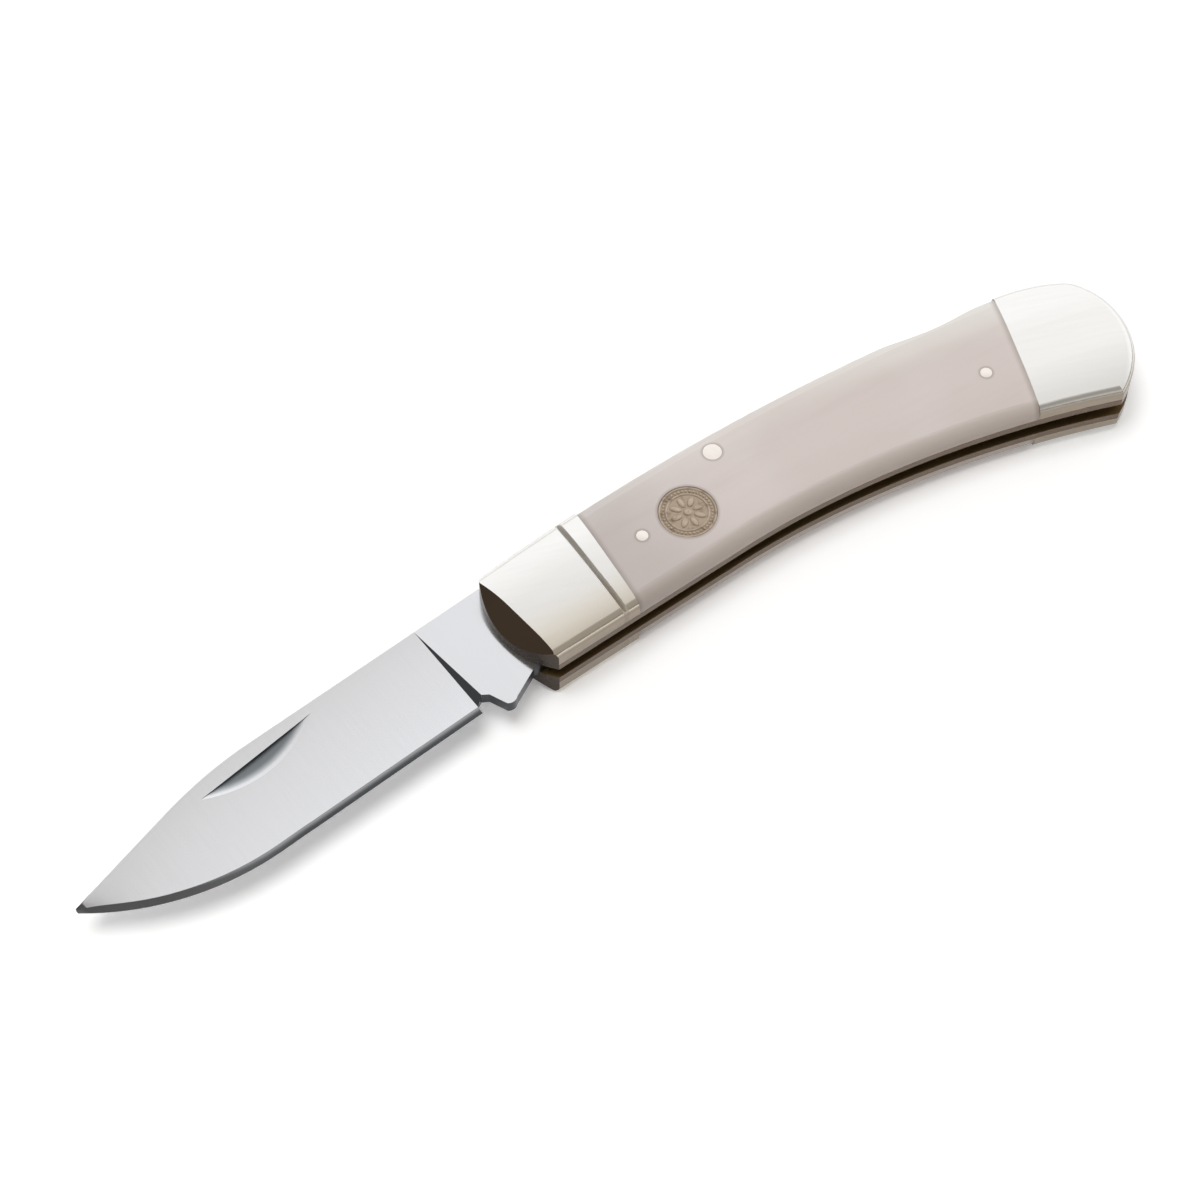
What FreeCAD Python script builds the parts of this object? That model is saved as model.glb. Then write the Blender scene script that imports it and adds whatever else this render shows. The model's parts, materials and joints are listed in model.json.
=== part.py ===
import FreeCAD, Part
import math
import os
from types import SimpleNamespace

import Sketcher
from FreeCAD import Placement, Rotation, Vector

# A lockback pocket knife lying open on its side.
# While it is drawn, the pivot is at zero, X runs to the butt, Y to the back and Z to the inlaid (mark) side.

# Driving sizes, in millimetres, and angles in degrees
SIZES = {
    # thicknesses across the knife
    "blade_thick": 1.9,
    "side_clearance": 0.05,
    "liner_thick": 1.1,
    "cover_thick": 2.7,
    # plan of the handle
    "nose_reach": 7.7,
    "nose_height": 6.95,
    "nose_radius": 12.3,
    "chin_reach": 5.0,
    "chin_depth": 7.7,
    "butt_reach": 82.35,
    "back_crest_height": 10.92,
    "belly_crest_depth": 4.64,
    "belly_bend_run": 10.0,
    "heel_setback": 6.45,
    "heel_depth": 11.1,
    "butt_radius": 11.7,
    "cap_setback": 1.83,
    "cap_height": 5.64,
    "shoulder_setback": 3.24,
    "shoulder_height": 6.97,
    "shoulder_radius": 4.0,
    "hump_setback": 11.4,
    "hump_radius": 20.5,
    # thumb scoop in the back, over the lock bar's tail
    "scoop_setback": 20.55,
    "scoop_depth": 1.2,
    "scoop_radius": 28.0,
    # crown of the bolsters and scales
    "crown_bend_radius": 210.0,
    "crown_height": 3.1,
    "crown_flat_half": 2.5,
    "crown_radius": 32.0,
    "bolster_round": 1.1,
    "scale_round": 1.9,
    # bolsters
    "front_joint_reach": 7.0,
    "rear_joint_setback": 15.05,
    "rear_joint_angle": 15.6,
    "bolster_groove_setback": 2.35,
    "bolster_groove_width": 0.7,
    "bolster_groove_depth": 0.35,
    "bolster_groove_bend_radius": 80.0,
    "bolster_groove_turn_angle": 3.3,
    "face_top_setback": 6.55,
    "face_turn_angle": 11.1,
    "face_slope_angle": 47.0,
    # pivot and hidden fasteners
    "pivot_pin_radius": 1.6,
    "pivot_pin_skin": 0.9,
    "running_clearance": 0.03,
    "rivet_radius": 0.7,
    "rivet_seat_depth": 1.2,
    "front_rivet_inset": 3.6,
    "rear_rivet_inset": 4.2,
    "butt_pin_radius": 0.8,
    "butt_pin_skin": 1.0,
    "butt_pin_setback": 6.4,
    "butt_pin_height": 5.6,
    "low_butt_pin_setback": 5.2,
    "low_butt_pin_depth": 2.0,
    # pins and inlay that show in the scales
    "scale_pin_radius": 0.75,
    "front_scale_pin_reach": 12.2,
    "front_scale_pin_height": 1.4,
    "rear_scale_pin_setback": 20.25,
    "rear_scale_pin_depth": 0.2,
    "pin_dome": 0.12,
    "inlay_radius": 3.7,
    "inlay_depth": 1.0,
    "inlay_reach": 18.8,
    "inlay_height": 1.5,
    "inlay_rim_width": 0.5,
    "inlay_field_sink": 0.18,
    "inlay_ring_radius": 2.3,
    "inlay_ring_width": 0.3,
    "inlay_boss_radius": 0.7,
    # blade, along its own length from the pivot
    "blade_lean_angle": 7.6,
    "blade_closed_angle": 169.0,
    "blade_reach": 68.9,
    "spine_height": 8.15,
    "spine_straight_reach": 41.0,
    "spine_radius": 55.0,
    "tip_fall_angle": 13.2,
    "edge_depth": 5.5,
    "edge_straight_reach": 46.0,
    "edge_radius": 36.2,
    "edge_bevel_width": 0.9,
    "edge_shoulder_thick": 0.52,
    "edge_thick": 0.06,
    "tip_thick": 0.8,
    "grind_reach": 16.5,
    "plunge_width": 1.1,
    "choil_depth": 3.85,
    "kick_reach": 12.9,
    "kick_depth": 6.7,
    "kick_round": 1.1,
    "kick_half_length": 0.75,
    "kick_flank_setback": 1.7,
    "kick_flank_rise": 2.3,
    "throat_reach": 8.2,
    "throat_depth": 4.9,
    "nick_reach": 41.6,
    "nick_height": 6.2,
    "nick_length": 17.1,
    "nick_depth": 0.5,
    "nick_width": 2.45,
    "nick_tilt_angle": 4.5,
    # tang and the lock
    "tang_radius": 5.6,
    "tang_top_radius": 8.3,
    "tang_step_reach": 6.0,
    "lock_notch_depth": 0.75,
    "lock_notch_low_angle": 62.0,
    "lock_notch_high_angle": 88.0,
    "lock_bite": 0.4,
    "lock_face_clearance": 0.07,
    "lock_nose_clearance": 0.35,
    "lock_lift_gap": 0.08,
    "closed_notch_margin_angle": 3.5,
    # lock bar, drawn home in the notch
    "rocker_reach": 26.1,
    "rocker_height": 7.45,
    "rocker_pin_radius": 1.2,
    "lock_bar_side_clearance": 0.05,
    "lock_nose_sink": 0.25,
    "lock_tail_rise": 0.4,
    "lock_tail_gap": 0.9,
    "lock_tail_depth": 2.9,
    "lock_tail_length": 21.0,
    "lock_arm_floor_height": 6.25,
    "lock_arm_end_reach": 17.0,
    "lock_boss_floor_height": 4.95,
    "lock_boss_half_length": 5.0,
    # spring and spacer
    "spring_thick": 0.9,
    "spring_side_clearance": 0.1,
    "spring_tip_inset": 1.2,
    "spring_gap": 0.03,
    "spring_root_length": 5.5,
    "spring_root_height": 3.6,
    "spacer_setback": 13.6,
    "spacer_lip": 0.9,
    "spacer_nose_setback": 11.0,
    "spacer_nose_depth": 4.2,
    "spacer_belly_setback": 6.3,
    "spacer_belly_depth": 7.4,
    # how far a cutter runs past what it cuts
    "overrun": 4.0,
}

# Where the long curves of the handle peak, as shares of the reach from pivot to butt
BACK_CREST_SHARE = 0.507
BELLY_CREST_SHARE = 0.4
CROWN_CREST_SHARE = 0.435
# Where the sections of the curved part of the blade lie, as shares of the way to the tip
TIP_STATION_SHARES = (0.0, 0.125, 0.25, 0.375, 0.5, 0.625, 0.75, 0.875, 1.0)
# The most of a section's height that the sharpened bevel may take, near the tip
BEVEL_LIMIT_SHARE = 0.62

doc = FreeCAD.newDocument("lockback_knife")
sheet = doc.addObject("Spreadsheet::Sheet", "Sizes")
for row, (alias, value) in enumerate(SIZES.items(), start=1):
    sheet.set(f"A{row}", alias)
    sheet.set(f"B{row}", str(value))
    sheet.setAlias(f"B{row}", alias)
doc.recompute()


class Size:
    """A size worked out from the sheet: its value now, and the formula that keeps it bound to the cells."""

    def __init__(self, value, text):
        self.value = value
        self.text = text

    def __add__(self, other):
        other = as_size(other)
        return Size(self.value + other.value, f"({self.text} + {other.text})")

    def __sub__(self, other):
        other = as_size(other)
        return Size(self.value - other.value, f"({self.text} - {other.text})")

    def __mul__(self, other):
        other = as_size(other)
        return Size(self.value * other.value, f"({self.text} * {other.text})")

    def __truediv__(self, other):
        other = as_size(other)
        return Size(self.value / other.value, f"({self.text} / {other.text})")

    def __neg__(self):
        return Size(-self.value, f"(0 - {self.text})")

    def root(self):
        return Size(math.sqrt(self.value), f"sqrt({self.text})")

    def cos(self):
        return Size(math.cos(math.radians(self.value)), f"cos({self.text})")

    def sin(self):
        return Size(math.sin(math.radians(self.value)), f"sin({self.text})")

    def tan(self):
        return Size(math.tan(math.radians(self.value)), f"tan({self.text})")


def as_size(number):
    return number if isinstance(number, Size) else Size(number, repr(number))


S = SimpleNamespace(**{alias: Size(sheet.get(alias), f"Sizes.{alias}") for alias in SIZES})
ZERO = as_size(0)


# Plane geometry with sizes

def polar(radius, angle):
    """The point at a radius and an angle about the pivot."""
    return radius * angle.cos(), radius * angle.sin()


def angle_of(rise, run):
    """The angle, in degrees, of a slope that rises by rise over run."""
    degrees = math.degrees(math.atan2(rise.value, run.value))
    return Size(degrees, f"(atan2({rise.text}; {run.text}) / 1 deg)")


def radius_through(run, rise):
    """The radius of an arc that leaves its crest level and falls by rise over run."""
    return (run * run + rise * rise) / (rise * 2)


def height_on_arc(crest_x, crest_y, radius, x):
    """The height, at x, of an arc that bulges up to its crest."""
    across = x - crest_x
    return crest_y - radius + (radius * radius - across * across).root()


def turn(point, angle):
    """A point turned about the pivot."""
    x, y = point
    return x * angle.cos() - y * angle.sin(), x * angle.sin() + y * angle.cos()


# Drawing helpers

def bind(thing, **sizes):
    """Binds properties, named with __ for a dot, to the sheet."""
    for name, size in sizes.items():
        thing.setExpression(name.replace("__", "."), as_size(size).text)


def arc_between(start, end, radius, bulge):
    """The arc from start to end that bulges to the right (+1) or the left (-1) of the way."""
    along = end.sub(start)
    half = along.Length / 2
    across = Vector(along.y, -along.x, 0).normalize()
    centre = start.add(end).multiply(0.5).sub(across.multiply(bulge * math.sqrt(radius ** 2 - half ** 2)))
    first, last = (start, end) if bulge > 0 else (end, start)
    begin = math.atan2(first.y - centre.y, first.x - centre.x)
    finish = math.atan2(last.y - centre.y, last.x - centre.x)
    return Part.ArcOfCircle(Part.Circle(centre, Vector(0, 0, 1), radius), begin, finish)


def draw(sketch, outline):
    """Draws a closed outline and ties every corner and radius to the sheet.

    The outline lists (x, y) for a corner with a straight run after it, and (x, y, radius, bulge) for a corner
    with an arc after it.
    """
    ends = []
    corners = [Vector(corner[0].value, corner[1].value, 0) for corner in outline]
    for index, corner in enumerate(outline):
        start = corners[index]
        end = corners[(index + 1) % len(corners)]
        if len(corner) == 2:
            sketch.addGeometry(Part.LineSegment(start, end), False)
            ends.append((1, 2))
        else:
            sketch.addGeometry(arc_between(start, end, corner[2].value, corner[3]), False)
            ends.append((1, 2) if corner[3] > 0 else (2, 1))
    for index, corner in enumerate(outline):
        after = (index + 1) % len(outline)
        sketch.addConstraint(Sketcher.Constraint("Coincident", index, ends[index][1], after, ends[after][0]))
        tie(sketch, "DistanceX", index, ends[index][0], corner[0])
        tie(sketch, "DistanceY", index, ends[index][0], corner[1])
        if len(corner) > 2:
            place = sketch.addConstraint(Sketcher.Constraint("Radius", index, corner[2].value))
            sketch.setExpression(f"Constraints[{place}]", corner[2].text)


def tie(sketch, kind, geometry, end, size):
    """Ties one coordinate of a corner to the sheet."""
    place = sketch.addConstraint(Sketcher.Constraint(kind, geometry, end, size.value))
    sketch.setExpression(f"Constraints[{place}]", size.text)


def sketch_in(body, name, plane, outline):
    """A sketch on one of the body's own planes."""
    sketch = body.newObject("Sketcher::SketchObject", name)
    support = [feature for feature in body.Origin.OriginFeatures if feature.Role == plane][0]
    sketch.AttachmentSupport = [(support, "")]
    sketch.MapMode = "FlatFace"
    draw(sketch, outline)
    return sketch


def plate(name, outline, thick, floor=None):
    """A flat plate: standing on floor, or centred on the middle plane where there is none."""
    body = doc.addObject("PartDesign::Body", name)
    sketch = sketch_in(body, f"{name}_outline", "XY_Plane", outline)
    pad = body.newObject("PartDesign::Pad", f"{name}_pad")
    pad.Profile = sketch
    bind(pad, Length=thick)
    if floor is None:
        pad.SideType = "Symmetric"
    else:
        bind(sketch, AttachmentOffset__Base__z=floor)
    return body


def turned(name, outline, x, y):
    """A round piece: a profile of (radius, height) turned about an upright axis at x, y."""
    body = doc.addObject("PartDesign::Body", name)
    sketch = sketch_in(body, f"{name}_profile", "XZ_Plane", outline)
    spin = body.newObject("PartDesign::Revolution", f"{name}_spin")
    spin.Profile = sketch
    spin.ReferenceAxis = (sketch, ["V_Axis"])
    bind(body, Placement__Base__x=x, Placement__Base__y=y)
    return body


def cylinder(name, radius, x, y, low, high):
    """An upright cylinder from low to high."""
    round_bar = doc.addObject("Part::Cylinder", name)
    bind(round_bar, Radius=radius, Height=high - low)
    bind(round_bar, Placement__Base__x=x, Placement__Base__y=y, Placement__Base__z=low)
    return round_bar


def block(name, length, width, height, x, y, z):
    """A rectangular block from its lowest corner."""
    box = doc.addObject("Part::Box", name)
    bind(box, Length=length, Width=width, Height=height)
    bind(box, Placement__Base__x=x, Placement__Base__y=y, Placement__Base__z=z)
    return box


def cut(name, base, tool):
    piece = doc.addObject("Part::Cut", name)
    piece.Base = base
    piece.Tool = tool
    return piece


def common(name, base, tool):
    piece = doc.addObject("Part::Common", name)
    piece.Base = base
    piece.Tool = tool
    return piece


def group(name, members):
    piece = doc.addObject("Part::Compound", name)
    piece.Links = members
    return piece


def mirrored(name, source):
    """The same piece on the other side of the blade."""
    piece = doc.addObject("Part::Mirroring", name)
    piece.Source = source
    piece.Normal = Vector(0, 0, 1)
    return piece


def round_over(name, base, radius):
    """Rounds the outer edges where the crowned face meets the upright outline walls."""
    doc.recompute()
    shape = base.Shape
    edges = []
    for index, edge in enumerate(shape.Edges, start=1):
        faces = shape.ancestorsOfType(edge, Part.Face)
        walls = [face for face in faces if is_outline_wall(face)]
        tops = [face for face in faces if face.normalAt(*face_middle(face)).z > 0.5]
        if len(walls) == 1 and len(tops) == 1:
            edges.append((index, radius.value, radius.value))
    piece = doc.addObject("Part::Fillet", name)
    piece.Base = base
    piece.Edges = edges
    return piece


def is_outline_wall(face):
    """Whether a face is upright and runs along the back, the butt or the belly."""
    normal = face.normalAt(*face_middle(face))
    if abs(normal.z) > 0.01 or -normal.x > abs(normal.y):
        return False
    return isinstance(face.Surface, Part.Cylinder) or -normal.y > abs(normal.x)


def face_middle(face):
    low_u, high_u, low_v, high_v = face.ParameterRange
    return (low_u + high_u) / 2, (low_v + high_v) / 2


# Levels above the middle plane
half_blade = S.blade_thick / 2
liner_floor = half_blade + S.side_clearance
liner_top = liner_floor + S.liner_thick
cover_top = liner_top + S.cover_thick

# Plan of the handle
back_crest_x = S.butt_reach * BACK_CREST_SHARE
belly_crest_x = S.butt_reach * BELLY_CREST_SHARE
back_radius = radius_through(back_crest_x + S.nose_reach, S.back_crest_height - S.nose_height)
bend_x = belly_crest_x - S.belly_bend_run
bend_run_squared = S.belly_bend_run * S.belly_bend_run
bend_rise = bend_run_squared / 2 + S.belly_bend_run * (bend_x + S.chin_reach)
bend_radius = bend_rise / (S.chin_depth - S.belly_crest_depth)
heel_x = S.butt_reach - S.heel_setback
heel_radius = radius_through(heel_x - belly_crest_x, S.heel_depth - S.belly_crest_depth)
hump_x = S.butt_reach - S.hump_setback
shoulder_x = S.butt_reach - S.shoulder_setback


def back_height(x):
    return height_on_arc(back_crest_x, S.back_crest_height, back_radius, x)


nose = (-S.nose_reach, S.nose_height)
chin = (-S.chin_reach, -S.chin_depth)
belly_bend = (bend_x, height_on_arc(belly_crest_x, -S.belly_crest_depth, bend_radius, bend_x))
belly_crest = (belly_crest_x, -S.belly_crest_depth)
heel = (heel_x, -S.heel_depth)
cap = (S.butt_reach - S.cap_setback, S.cap_height)
shoulder = (shoulder_x, S.shoulder_height)
hump = (hump_x, back_height(hump_x))
OUT = 1
IN = -1
butt_outline = [
    (*cap, S.shoulder_radius, OUT),
    (*shoulder, S.hump_radius, OUT),
    (*hump, back_radius, OUT),
]
handle_outline = [
    (*nose, S.nose_radius, OUT),
    chin,
    (*belly_bend, bend_radius, IN),
    (*belly_crest, heel_radius, IN),
    (*heel, S.butt_radius, OUT),
    *butt_outline,
]

# Thumb scoop through liners and scales
scoop_x = S.butt_reach - S.scoop_setback
scoop_floor = back_height(scoop_x) - S.scoop_depth
scoop = cylinder(
    "thumb_scoop", S.scoop_radius, scoop_x, scoop_floor + S.scoop_radius,
    -S.overrun, cover_top + S.overrun,
)

# Pins and rivets, each cutting its own seat in what it holds
pivot_pin = cylinder(
    "pivot_pin_bar", S.pivot_pin_radius, ZERO, ZERO,
    S.pivot_pin_skin - cover_top, cover_top - S.pivot_pin_skin,
)
butt_pin_places = [
    (S.butt_reach - S.butt_pin_setback, S.butt_pin_height),
    (S.butt_reach - S.low_butt_pin_setback, -S.low_butt_pin_depth),
]
butt_pins = group("butt_pin_pair", [
    cylinder(
        f"butt_pin_{index}", S.butt_pin_radius, x, y,
        S.butt_pin_skin - cover_top, cover_top - S.butt_pin_skin,
    )
    for index, (x, y) in enumerate(butt_pin_places)
])
rivet_places = [
    (S.front_rivet_inset - S.nose_reach, S.front_rivet_inset),
    (S.front_joint_reach - S.front_rivet_inset, -S.front_rivet_inset),
    (hump_x + S.rear_rivet_inset / 2, S.rear_rivet_inset / 2),
    (heel_x - S.rear_rivet_inset / 2, S.rear_rivet_inset - S.heel_depth),
]
rivets = group("rivet_set", [
    cylinder(f"rivet_{index}", S.rivet_radius, x, y, liner_floor, liner_top + S.rivet_seat_depth)
    for index, (x, y) in enumerate(rivet_places)
])


def domed_pin(name, radius, x, y, low, high):
    """A pin with a flat foot and a low domed head."""
    dome_radius = radius_through(radius, S.pin_dome)
    return turned(name, [
        (ZERO, low),
        (radius, low),
        (radius, high, dome_radius, OUT),
        (ZERO, high + S.pin_dome),
    ], x, y)


rear_pin_x = S.butt_reach - S.rear_scale_pin_setback
scale_pin_places = [
    (S.front_scale_pin_reach, S.front_scale_pin_height),
    (rear_pin_x, -S.rear_scale_pin_depth),
]
mark_scale_pins = group("mark_scale_pin_pair", [
    domed_pin(f"mark_scale_pin_{index}", S.scale_pin_radius, x, y, liner_floor, cover_top)
    for index, (x, y) in enumerate(scale_pin_places)
])
scale_pin_bars = group("scale_pin_bar_pair", [
    cylinder(f"scale_pin_bar_{index}", S.scale_pin_radius, x, y, liner_floor, cover_top)
    for index, (x, y) in enumerate(scale_pin_places)
])
pile_scale_pins = mirrored("pile_scale_pin_pair", scale_pin_bars)
rocker_pin = domed_pin(
    "rocker_pin", S.rocker_pin_radius, S.rocker_reach, S.rocker_height,
    S.pin_dome - cover_top, cover_top - S.pin_dome,
)
rocker_bore = cylinder(
    "rocker_bore", S.rocker_pin_radius, S.rocker_reach, S.rocker_height,
    liner_floor, cover_top + S.overrun,
)

# Liners
liner_plate = plate("liner_plate", handle_outline, S.liner_thick, liner_floor)
liner_scooped = cut("liner_scooped", liner_plate, scoop)
liner_seats = group("liner_seats", [pivot_pin, butt_pins, rivets, scale_pin_bars, rocker_bore])
mark_liner = cut("mark_liner_bored", liner_scooped, liner_seats)
pile_liner = mirrored("pile_liner_bored", mark_liner)

# Crowned cover plate, which the bolsters and the scale are parted from
crown_reach_half = S.overrun * 4
crown_run = crown_reach_half - S.crown_flat_half
crown_fall = S.crown_radius - (S.crown_radius * S.crown_radius - crown_run * crown_run).root()
crown_crest_x = S.butt_reach * CROWN_CREST_SHARE
crown = turned("crown", [
    (S.crown_bend_radius - crown_reach_half, ZERO),
    (S.crown_bend_radius + crown_reach_half, ZERO),
    (S.crown_bend_radius + crown_reach_half, cover_top - crown_fall, S.crown_radius, OUT),
    (S.crown_bend_radius + S.crown_flat_half, cover_top),
    (S.crown_bend_radius - S.crown_flat_half, cover_top, S.crown_radius, OUT),
    (S.crown_bend_radius - crown_reach_half, cover_top - crown_fall),
], crown_crest_x, S.crown_height - S.crown_bend_radius)
cover_plate = plate("cover_plate", handle_outline, S.cover_thick, liner_top)
cover = common("cover_crowned", cover_plate, crown)

# Blocks that part the cover at the two joint lines
handle_height = S.back_crest_height + S.heel_depth
parting_height = cover_top + S.overrun
front_block = block(
    "front_parting",
    S.front_joint_reach + S.nose_reach + S.overrun,
    handle_height + S.overrun * 2,
    parting_height,
    -S.nose_reach - S.overrun,
    -S.heel_depth - S.overrun,
    ZERO,
)
rear_block = block(
    "rear_parting",
    S.rear_joint_setback + S.heel_depth,
    handle_height * 2,
    parting_height,
    S.butt_reach - S.rear_joint_setback - handle_height * S.rear_joint_angle.sin(),
    -handle_height * S.rear_joint_angle.cos(),
    ZERO,
)
bind(rear_block, Placement__Rotation__Angle=-S.rear_joint_angle)


def crown_crest_height(x):
    return height_on_arc(crown_crest_x, S.crown_height, S.crown_bend_radius, x)


# Front bolster: rounded edges, a sloped front face, a groove that follows the crown, and blind seats
front_blank = common("front_bolster_blank", cover, front_block)
front_rounded = round_over("front_bolster_rounded", front_blank, S.bolster_round)
face_block = block(
    "front_face_cutter",
    S.cover_thick * 4,
    handle_height * 2,
    S.cover_thick * 4,
    -S.face_top_setback - handle_height * S.face_turn_angle.sin(),
    handle_height * S.face_turn_angle.cos(),
    cover_top,
)
face_turn = Rotation(Vector(0, 0, 1), 180 + S.face_turn_angle.value)
face_block.Placement.Rotation = face_turn.multiply(Rotation(Vector(0, 1, 0), S.face_slope_angle.value))
front_faced = cut("front_bolster_faced", front_rounded, face_block)
groove_x = S.front_joint_reach - S.bolster_groove_setback
groove_bend = S.bolster_groove_bend_radius
groove_wheel = doc.addObject("PartDesign::Body", "groove_wheel")
groove_sketch = sketch_in(groove_wheel, "groove_wheel_rim", "XZ_Plane", [
    (groove_x, groove_bend - S.bolster_groove_depth),
    (groove_x + S.bolster_groove_width / 2, groove_bend),
    (groove_x + S.bolster_groove_width / 2, groove_bend + S.bolster_groove_depth),
    (groove_x - S.bolster_groove_width / 2, groove_bend + S.bolster_groove_depth),
    (groove_x - S.bolster_groove_width / 2, groove_bend),
])
groove_spin = groove_wheel.newObject("PartDesign::Revolution", "groove_wheel_spin")
groove_spin.Profile = groove_sketch
groove_spin.ReferenceAxis = (groove_sketch, ["H_Axis"])
bind(
    groove_wheel,
    Placement__Base__y=crown_crest_height(groove_x),
    Placement__Base__z=cover_top - groove_bend,
    Placement__Rotation__Angle=S.bolster_groove_turn_angle,
)
front_grooved = cut("front_bolster_grooved", front_faced, groove_wheel)
bolster_seats = group("bolster_seats", [pivot_pin, butt_pins, rivets])
front_bolster = cut("front_bolster_bored", front_grooved, bolster_seats)

# Rear bolster
rear_blank = common("rear_bolster_blank", cover, rear_block)
rear_rounded = round_over("rear_bolster_rounded", rear_blank, S.bolster_round)
rear_bolster = cut("rear_bolster_bored", cut("rear_bolster_scooped", rear_rounded, scoop), bolster_seats)

# Scales, the mark side with a round seat for the inlay
scale_blank = cut("scale_blank", cut("scale_without_front", cover, front_block), rear_block)
scale_rounded = round_over("scale_rounded", scale_blank, S.scale_round)
scale_seats = group("scale_seats", [scale_pin_bars, rocker_bore])
scale_core = cut("scale_bored", cut("scale_scooped", scale_rounded, scoop), scale_seats)
inlay_floor = cover_top - S.inlay_depth
inlay_seat = cylinder(
    "inlay_seat", S.inlay_radius, S.inlay_reach, S.inlay_height, inlay_floor, cover_top + S.overrun,
)
mark_scale = cut("mark_scale_seated", scale_core, inlay_seat)
pile_scale = mirrored("pile_scale_bored", scale_core)

# Inlay: a rimmed disc with one raised ring and a small boss
field = cover_top - S.inlay_field_sink
rim_inner = S.inlay_radius - S.inlay_rim_width
ring_outer = S.inlay_ring_radius + S.inlay_ring_width / 2
ring_inner = S.inlay_ring_radius - S.inlay_ring_width / 2
inlay = turned("inlay", [
    (ZERO, inlay_floor),
    (S.inlay_radius, inlay_floor),
    (S.inlay_radius, cover_top),
    (rim_inner, cover_top),
    (rim_inner, field),
    (ring_outer, field),
    (ring_outer, cover_top - S.inlay_field_sink / 2),
    (ring_inner, cover_top - S.inlay_field_sink / 2),
    (ring_inner, field),
    (S.inlay_boss_radius, field),
    (ZERO, cover_top),
], S.inlay_reach, S.inlay_height)

# Tang and ricasso, in the blade's own directions: the tip lies at minus X, the spine at plus Y
notch_radius = S.tang_radius - S.lock_notch_depth
notch_low = S.lock_notch_low_angle - S.blade_lean_angle
notch_high = S.lock_notch_high_angle - S.blade_lean_angle
closed_low = notch_low - S.blade_closed_angle - S.closed_notch_margin_angle
closed_high = notch_high - S.blade_closed_angle + S.closed_notch_margin_angle
plunge_top = (-S.grind_reach, S.spine_height)
plunge_foot = (S.plunge_width - S.grind_reach, -S.choil_depth)
tang = plate("tang", [
    plunge_top,
    plunge_foot,
    (-S.kick_reach - S.kick_flank_setback, S.kick_flank_rise - S.kick_depth),
    (-S.kick_reach - S.kick_half_length, -S.kick_depth, S.kick_round, OUT),
    (-S.kick_reach + S.kick_half_length, -S.kick_depth),
    (-S.throat_reach, -S.throat_depth),
    polar(S.tang_radius, closed_low),
    (*polar(notch_radius, closed_low), notch_radius, OUT),
    polar(notch_radius, closed_high),
    (*polar(S.tang_radius, closed_high), S.tang_radius, OUT),
    polar(S.tang_radius, notch_low),
    (*polar(notch_radius, notch_low), notch_radius, OUT),
    polar(notch_radius, notch_high),
    polar(S.tang_top_radius, notch_high),
    (-S.tang_step_reach, S.spine_height),
], S.blade_thick)


# Ground part of the blade, as sections across it: straight first, then curving to the tip
straight_end = S.spine_straight_reach.value
curved_length = S.blade_reach.value - straight_end


def spine_at(reach):
    """Height of the spine: straight, then an arc, then a straight fall to the tip."""
    bend = reach - S.spine_straight_reach.value
    bend_end = S.spine_radius.value * S.tip_fall_angle.sin().value
    if bend <= 0:
        return S.spine_height.value
    arc = min(bend, bend_end)
    fall = S.spine_radius.value - math.sqrt(S.spine_radius.value ** 2 - arc ** 2)
    return S.spine_height.value - fall - (bend - arc) * S.tip_fall_angle.tan().value


def edge_at(reach):
    """Height of the cutting edge, and how steeply it climbs."""
    bend = max(0.0, reach - S.edge_straight_reach.value)
    rise = S.edge_radius.value - math.sqrt(S.edge_radius.value ** 2 - bend ** 2)
    return rise - S.edge_depth.value, bend / S.edge_radius.value


def blade_section(reach):
    """Corners of a section across the ground blade: spine, flat and bevel on one side, then the other."""
    spine = spine_at(reach)
    edge, climb = edge_at(reach)
    bevel = S.edge_bevel_width.value / math.sqrt(1 - climb ** 2)
    bevel = min(bevel, BEVEL_LIMIT_SHARE * (spine - edge))
    taper = (max(0.0, reach - straight_end) / curved_length) ** 2
    spine_half = (S.blade_thick.value + (S.tip_thick.value - S.blade_thick.value) * taper) / 2
    shoulder_half = S.edge_shoulder_thick.value / 2
    edge_half = S.edge_thick.value / 2
    return [
        Vector(-reach, spine, spine_half),
        Vector(-reach, edge + bevel, shoulder_half),
        Vector(-reach, edge, edge_half),
        Vector(-reach, edge, -edge_half),
        Vector(-reach, edge + bevel, -shoulder_half),
        Vector(-reach, spine, -spine_half),
    ]


def loop(corners):
    return Part.makePolygon([*corners, corners[0]])


def ground_length(name, stations, straight):
    """A solid through the sections at some stations."""
    piece = doc.addObject("Part::Feature", name)
    piece.Shape = Part.makeLoft([loop(blade_section(reach)) for reach in stations], True, straight)
    return piece


straight_blade = ground_length("straight_blade", [S.grind_reach.value, straight_end], True)
tip_stations = [straight_end + share * curved_length for share in TIP_STATION_SHARES]
tip_blade = ground_length("tip_blade", tip_stations, False)

# Plunge: the sloped step from the full thickness of the ricasso to the ground flats
first_section = blade_section(S.grind_reach.value)
head_top, shoulder_top, shoulder_low, head_low = [first_section[place] for place in (0, 1, 4, 5)]
foot_top = Vector(plunge_foot[0].value, plunge_foot[1].value, half_blade.value)
foot_low = Vector(plunge_foot[0].value, plunge_foot[1].value, -half_blade.value)
plunge_faces = [
    [foot_top, foot_low, shoulder_low, shoulder_top],
    [head_top, foot_top, shoulder_top],
    [head_low, foot_low, shoulder_low],
    [head_top, head_low, shoulder_low, shoulder_top],
    [head_top, head_low, foot_low, foot_top],
]
plunge = doc.addObject("Part::Feature", "plunge")
plunge.Shape = Part.makeSolid(Part.makeShell([Part.Face(loop(corners)) for corners in plunge_faces]))

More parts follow.
